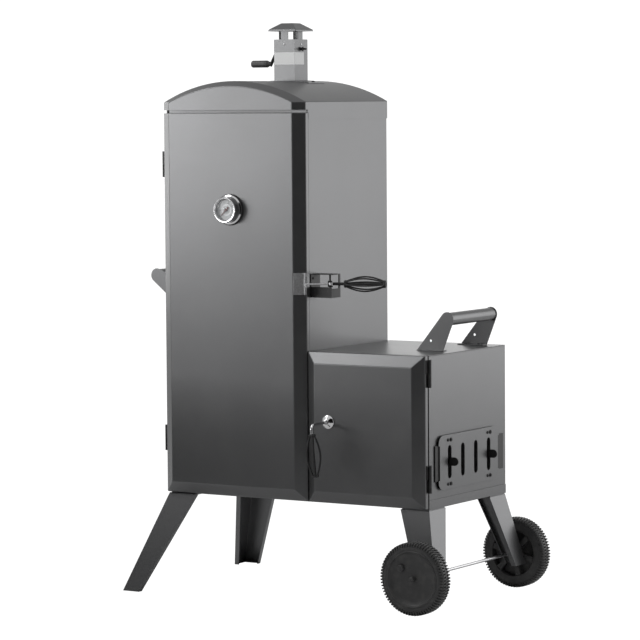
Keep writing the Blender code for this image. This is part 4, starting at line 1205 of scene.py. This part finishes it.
# %% [markdown]
# ## Small turned and bent pieces
# What is left is the rosette of the firebox handle, the crank's grip, the axle, the rain cap, the
# water pan with its turned rim, and a blank label on the flue.

# %% Rosette, crank grip and axle
rosette_at = pivots["firebox_handle_turn"].copy()
rosette_at.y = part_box("firebox_door")[0].y - SKIN
rosette = [(0.0046, 0.0), (0.0180, 0.0), (0.0185, 0.0006), (0.0185, 0.0018), (0.0178, 0.0030)]
rosette += [(0.0150, 0.0052), (0.0112, 0.0074), (0.0086, 0.0086), (0.0078, 0.0096), (0.0066, 0.0102)]
rosette += [(0.0052, 0.0102), (0.0046, 0.0094)]
turned_piece("firebox_rosette_turned", rosette, aimed(rosette_at, FRONT), 64, "firebox_door", "bright_chrome",
             ["firebox_rosette"])

grip_low, grip_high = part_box("damper_grip")
grip_end, length = middle_of("damper_grip"), grip_high.x - grip_low.x
grip_end.x = grip_high.x
grip = [(0, 0.0), (0.0050, 0.0), (0.0060, 0.0008), (0.0066, 0.0050), (0.0092, 0.0092), (0.0096, 0.0110)]
grip += [(0.0096, 0.0140), (0.0090, 0.0146), (0.0090, 0.0152), (0.0096, 0.0158), (0.0096, length - 0.0036)]
grip += [(0.0088, length - 0.0012), (0.0070, length - 0.0002), (0.0040, length - 0.0001)]
grip += [(0.0036, length - 0.0010), (0, length - 0.0010)]
turned_piece("damper_grip_turned", grip, aimed(grip_end, LEFT), 40, "chimney_damper", "black_plastic",
             ["damper_grip"], wheel_plastic("crank_plastic", grip_end))

axle_low, axle_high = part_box("axle")
axle_end, length = middle_of("axle"), axle_high.y - axle_low.y
axle_end.y = axle_low.y
AXLE_R, AXLE_CHAMFER = 0.0040, 0.0010
axle = [(0, 0.0), (AXLE_R - AXLE_CHAMFER, 0.0), (AXLE_R, AXLE_CHAMFER), (AXLE_R, length - AXLE_CHAMFER)]
axle += [(AXLE_R - AXLE_CHAMFER, length), (0, length)]
turned_piece("axle_bar", axle, aimed(axle_end, BACK), 32, "root", "zinc_steel", ["axle"])
print("rosette, crank grip and axle turned")

# %% Rain cap, label and water pan
CAP_HALF, CAP_CROWN, CAP_RIM, CAP_RISE, CAP_SHEET = 0.0445, 0.0190, 0.0045, 0.0220, 0.0015
STRAP_HALF, STRAP, STRAP_LOW, STRAP_HIGH = 0.0115, 0.0013, 1.4630, 1.5178
FLUE_WALL = 0.0018
cap_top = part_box("rain_cap")[1].z


def square(half, z):
    """A square round the flue's middle."""
    corners = ((-half, -half), (half, -half), (half, half), (-half, half))
    return [(flue_centre.x + x, flue_centre.y + y, z) for x, y in corners]


eave = cap_top - CAP_RISE
steps = [square(CAP_CROWN, cap_top), square(CAP_HALF, eave + CAP_RIM), square(CAP_HALF, eave)]
work = loose("cap_work", facing(rings_of(steps), (0, 0, 1)))
bm = bmesh.new()
bm.from_mesh(solid_result(thickened(round_edges(work, 0.0016, 3, 12), CAP_SHEET)))
for side in (FRONT, BACK, LEFT, RIGHT):
    inner = flue_centre + side * (FLUE_HALF - FLUE_WALL - STRAP)
    across = Vector((abs(side.y), abs(side.x), 0)) * STRAP_HALF
    ends = [inner - across, inner + across + side * STRAP]
    low, high = (Vector([pick(values) for values in zip(*ends)]) for pick in (min, max))
    low.z, high.z = STRAP_LOW, STRAP_HIGH
    bm.from_mesh(solid_result(round_edges(loose("strap", block(low, high)), 0.0004)))
keep("rain_cap_pressed", solid_result(loose("cap_done", bm)), "root", "painted_steel", ["rain_cap"])

LABEL_LOW, LABEL_HIGH, LABEL_THICK, LABEL_GAP = 1.4150, 1.4480, 0.00025, 0.00003
LABEL_BEND, LABEL_SIDE = 0.0006, 0.42           # its bend at the corner, and its share of the right wall
outer, inner = FLUE_HALF + LABEL_THICK, FLUE_HALF + LABEL_GAP
start, end = -FLUE_HALF + 0.0010, FLUE_HALF * LABEL_SIDE
route = [(start, -outer), (outer - LABEL_BEND, -outer), (outer, -outer + LABEL_BEND), (outer, end)]
route += [(inner, end), (inner, -inner), (start, -inner)]
sections = [[(flue_centre.x + x, flue_centre.y + y, z) for x, y in route] for z in (LABEL_LOW, LABEL_HIGH)]
keep("flue_label", solid_result(loose("label_work", bridged(sections))), "root", "dial_face", (), LABEL)

pan_low, pan_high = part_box("water_pan")


def pan_outline(inset_x, inset_y, z, corner=0.020, steps=5):
    """A rectangle with round corners, drawn in from the pan's box."""
    points = []
    left, right_end = pan_low.x + inset_x + corner, pan_high.x - inset_x - corner
    near, far = pan_low.y + inset_y + corner, pan_high.y - inset_y - corner
    centres = ((right_end, far), (left, far), (left, near), (right_end, near))
    for quarter, (cx, cy) in enumerate(centres):
        for i in range(steps + 1):
            a = math.radians(90 * quarter + 90 * i / steps)
            points.append((cx + corner * math.cos(a), cy + corner * math.sin(a), z))
    return points


PAN_DEPTH, PAN_SHEET = 0.0520, 0.0014
rim_z = pan_high.z - 0.0018
sections = [pan_outline(0.056, 0.046, rim_z - PAN_DEPTH, 0.016)]
sections += [pan_outline(0.034, 0.024, rim_z - 0.004, 0.030), pan_outline(0.030, 0.020, rim_z, 0.032)]
sections += [pan_outline(0.0015, 0.0015, rim_z), pan_outline(0.0002, 0.0002, rim_z - PAN_SHEET)]
work = round_edges(loose("pan_work", facing(rings_of(sections), (0, 0, 1))), 0.0030, 3, 25)
mesh = solid_result(thickened(work, PAN_SHEET, even=False))
keep("water_pan_enamelled", mesh, "root", "enamel", ["water_pan"])
print("rain cap, label and water pan made")

# %% [markdown]
# ## Clearing up
# The head shapes that the fasteners were copied from are removed.

# %% Finish
for kind in HEADS.values():
    bpy.data.objects.remove(kind)
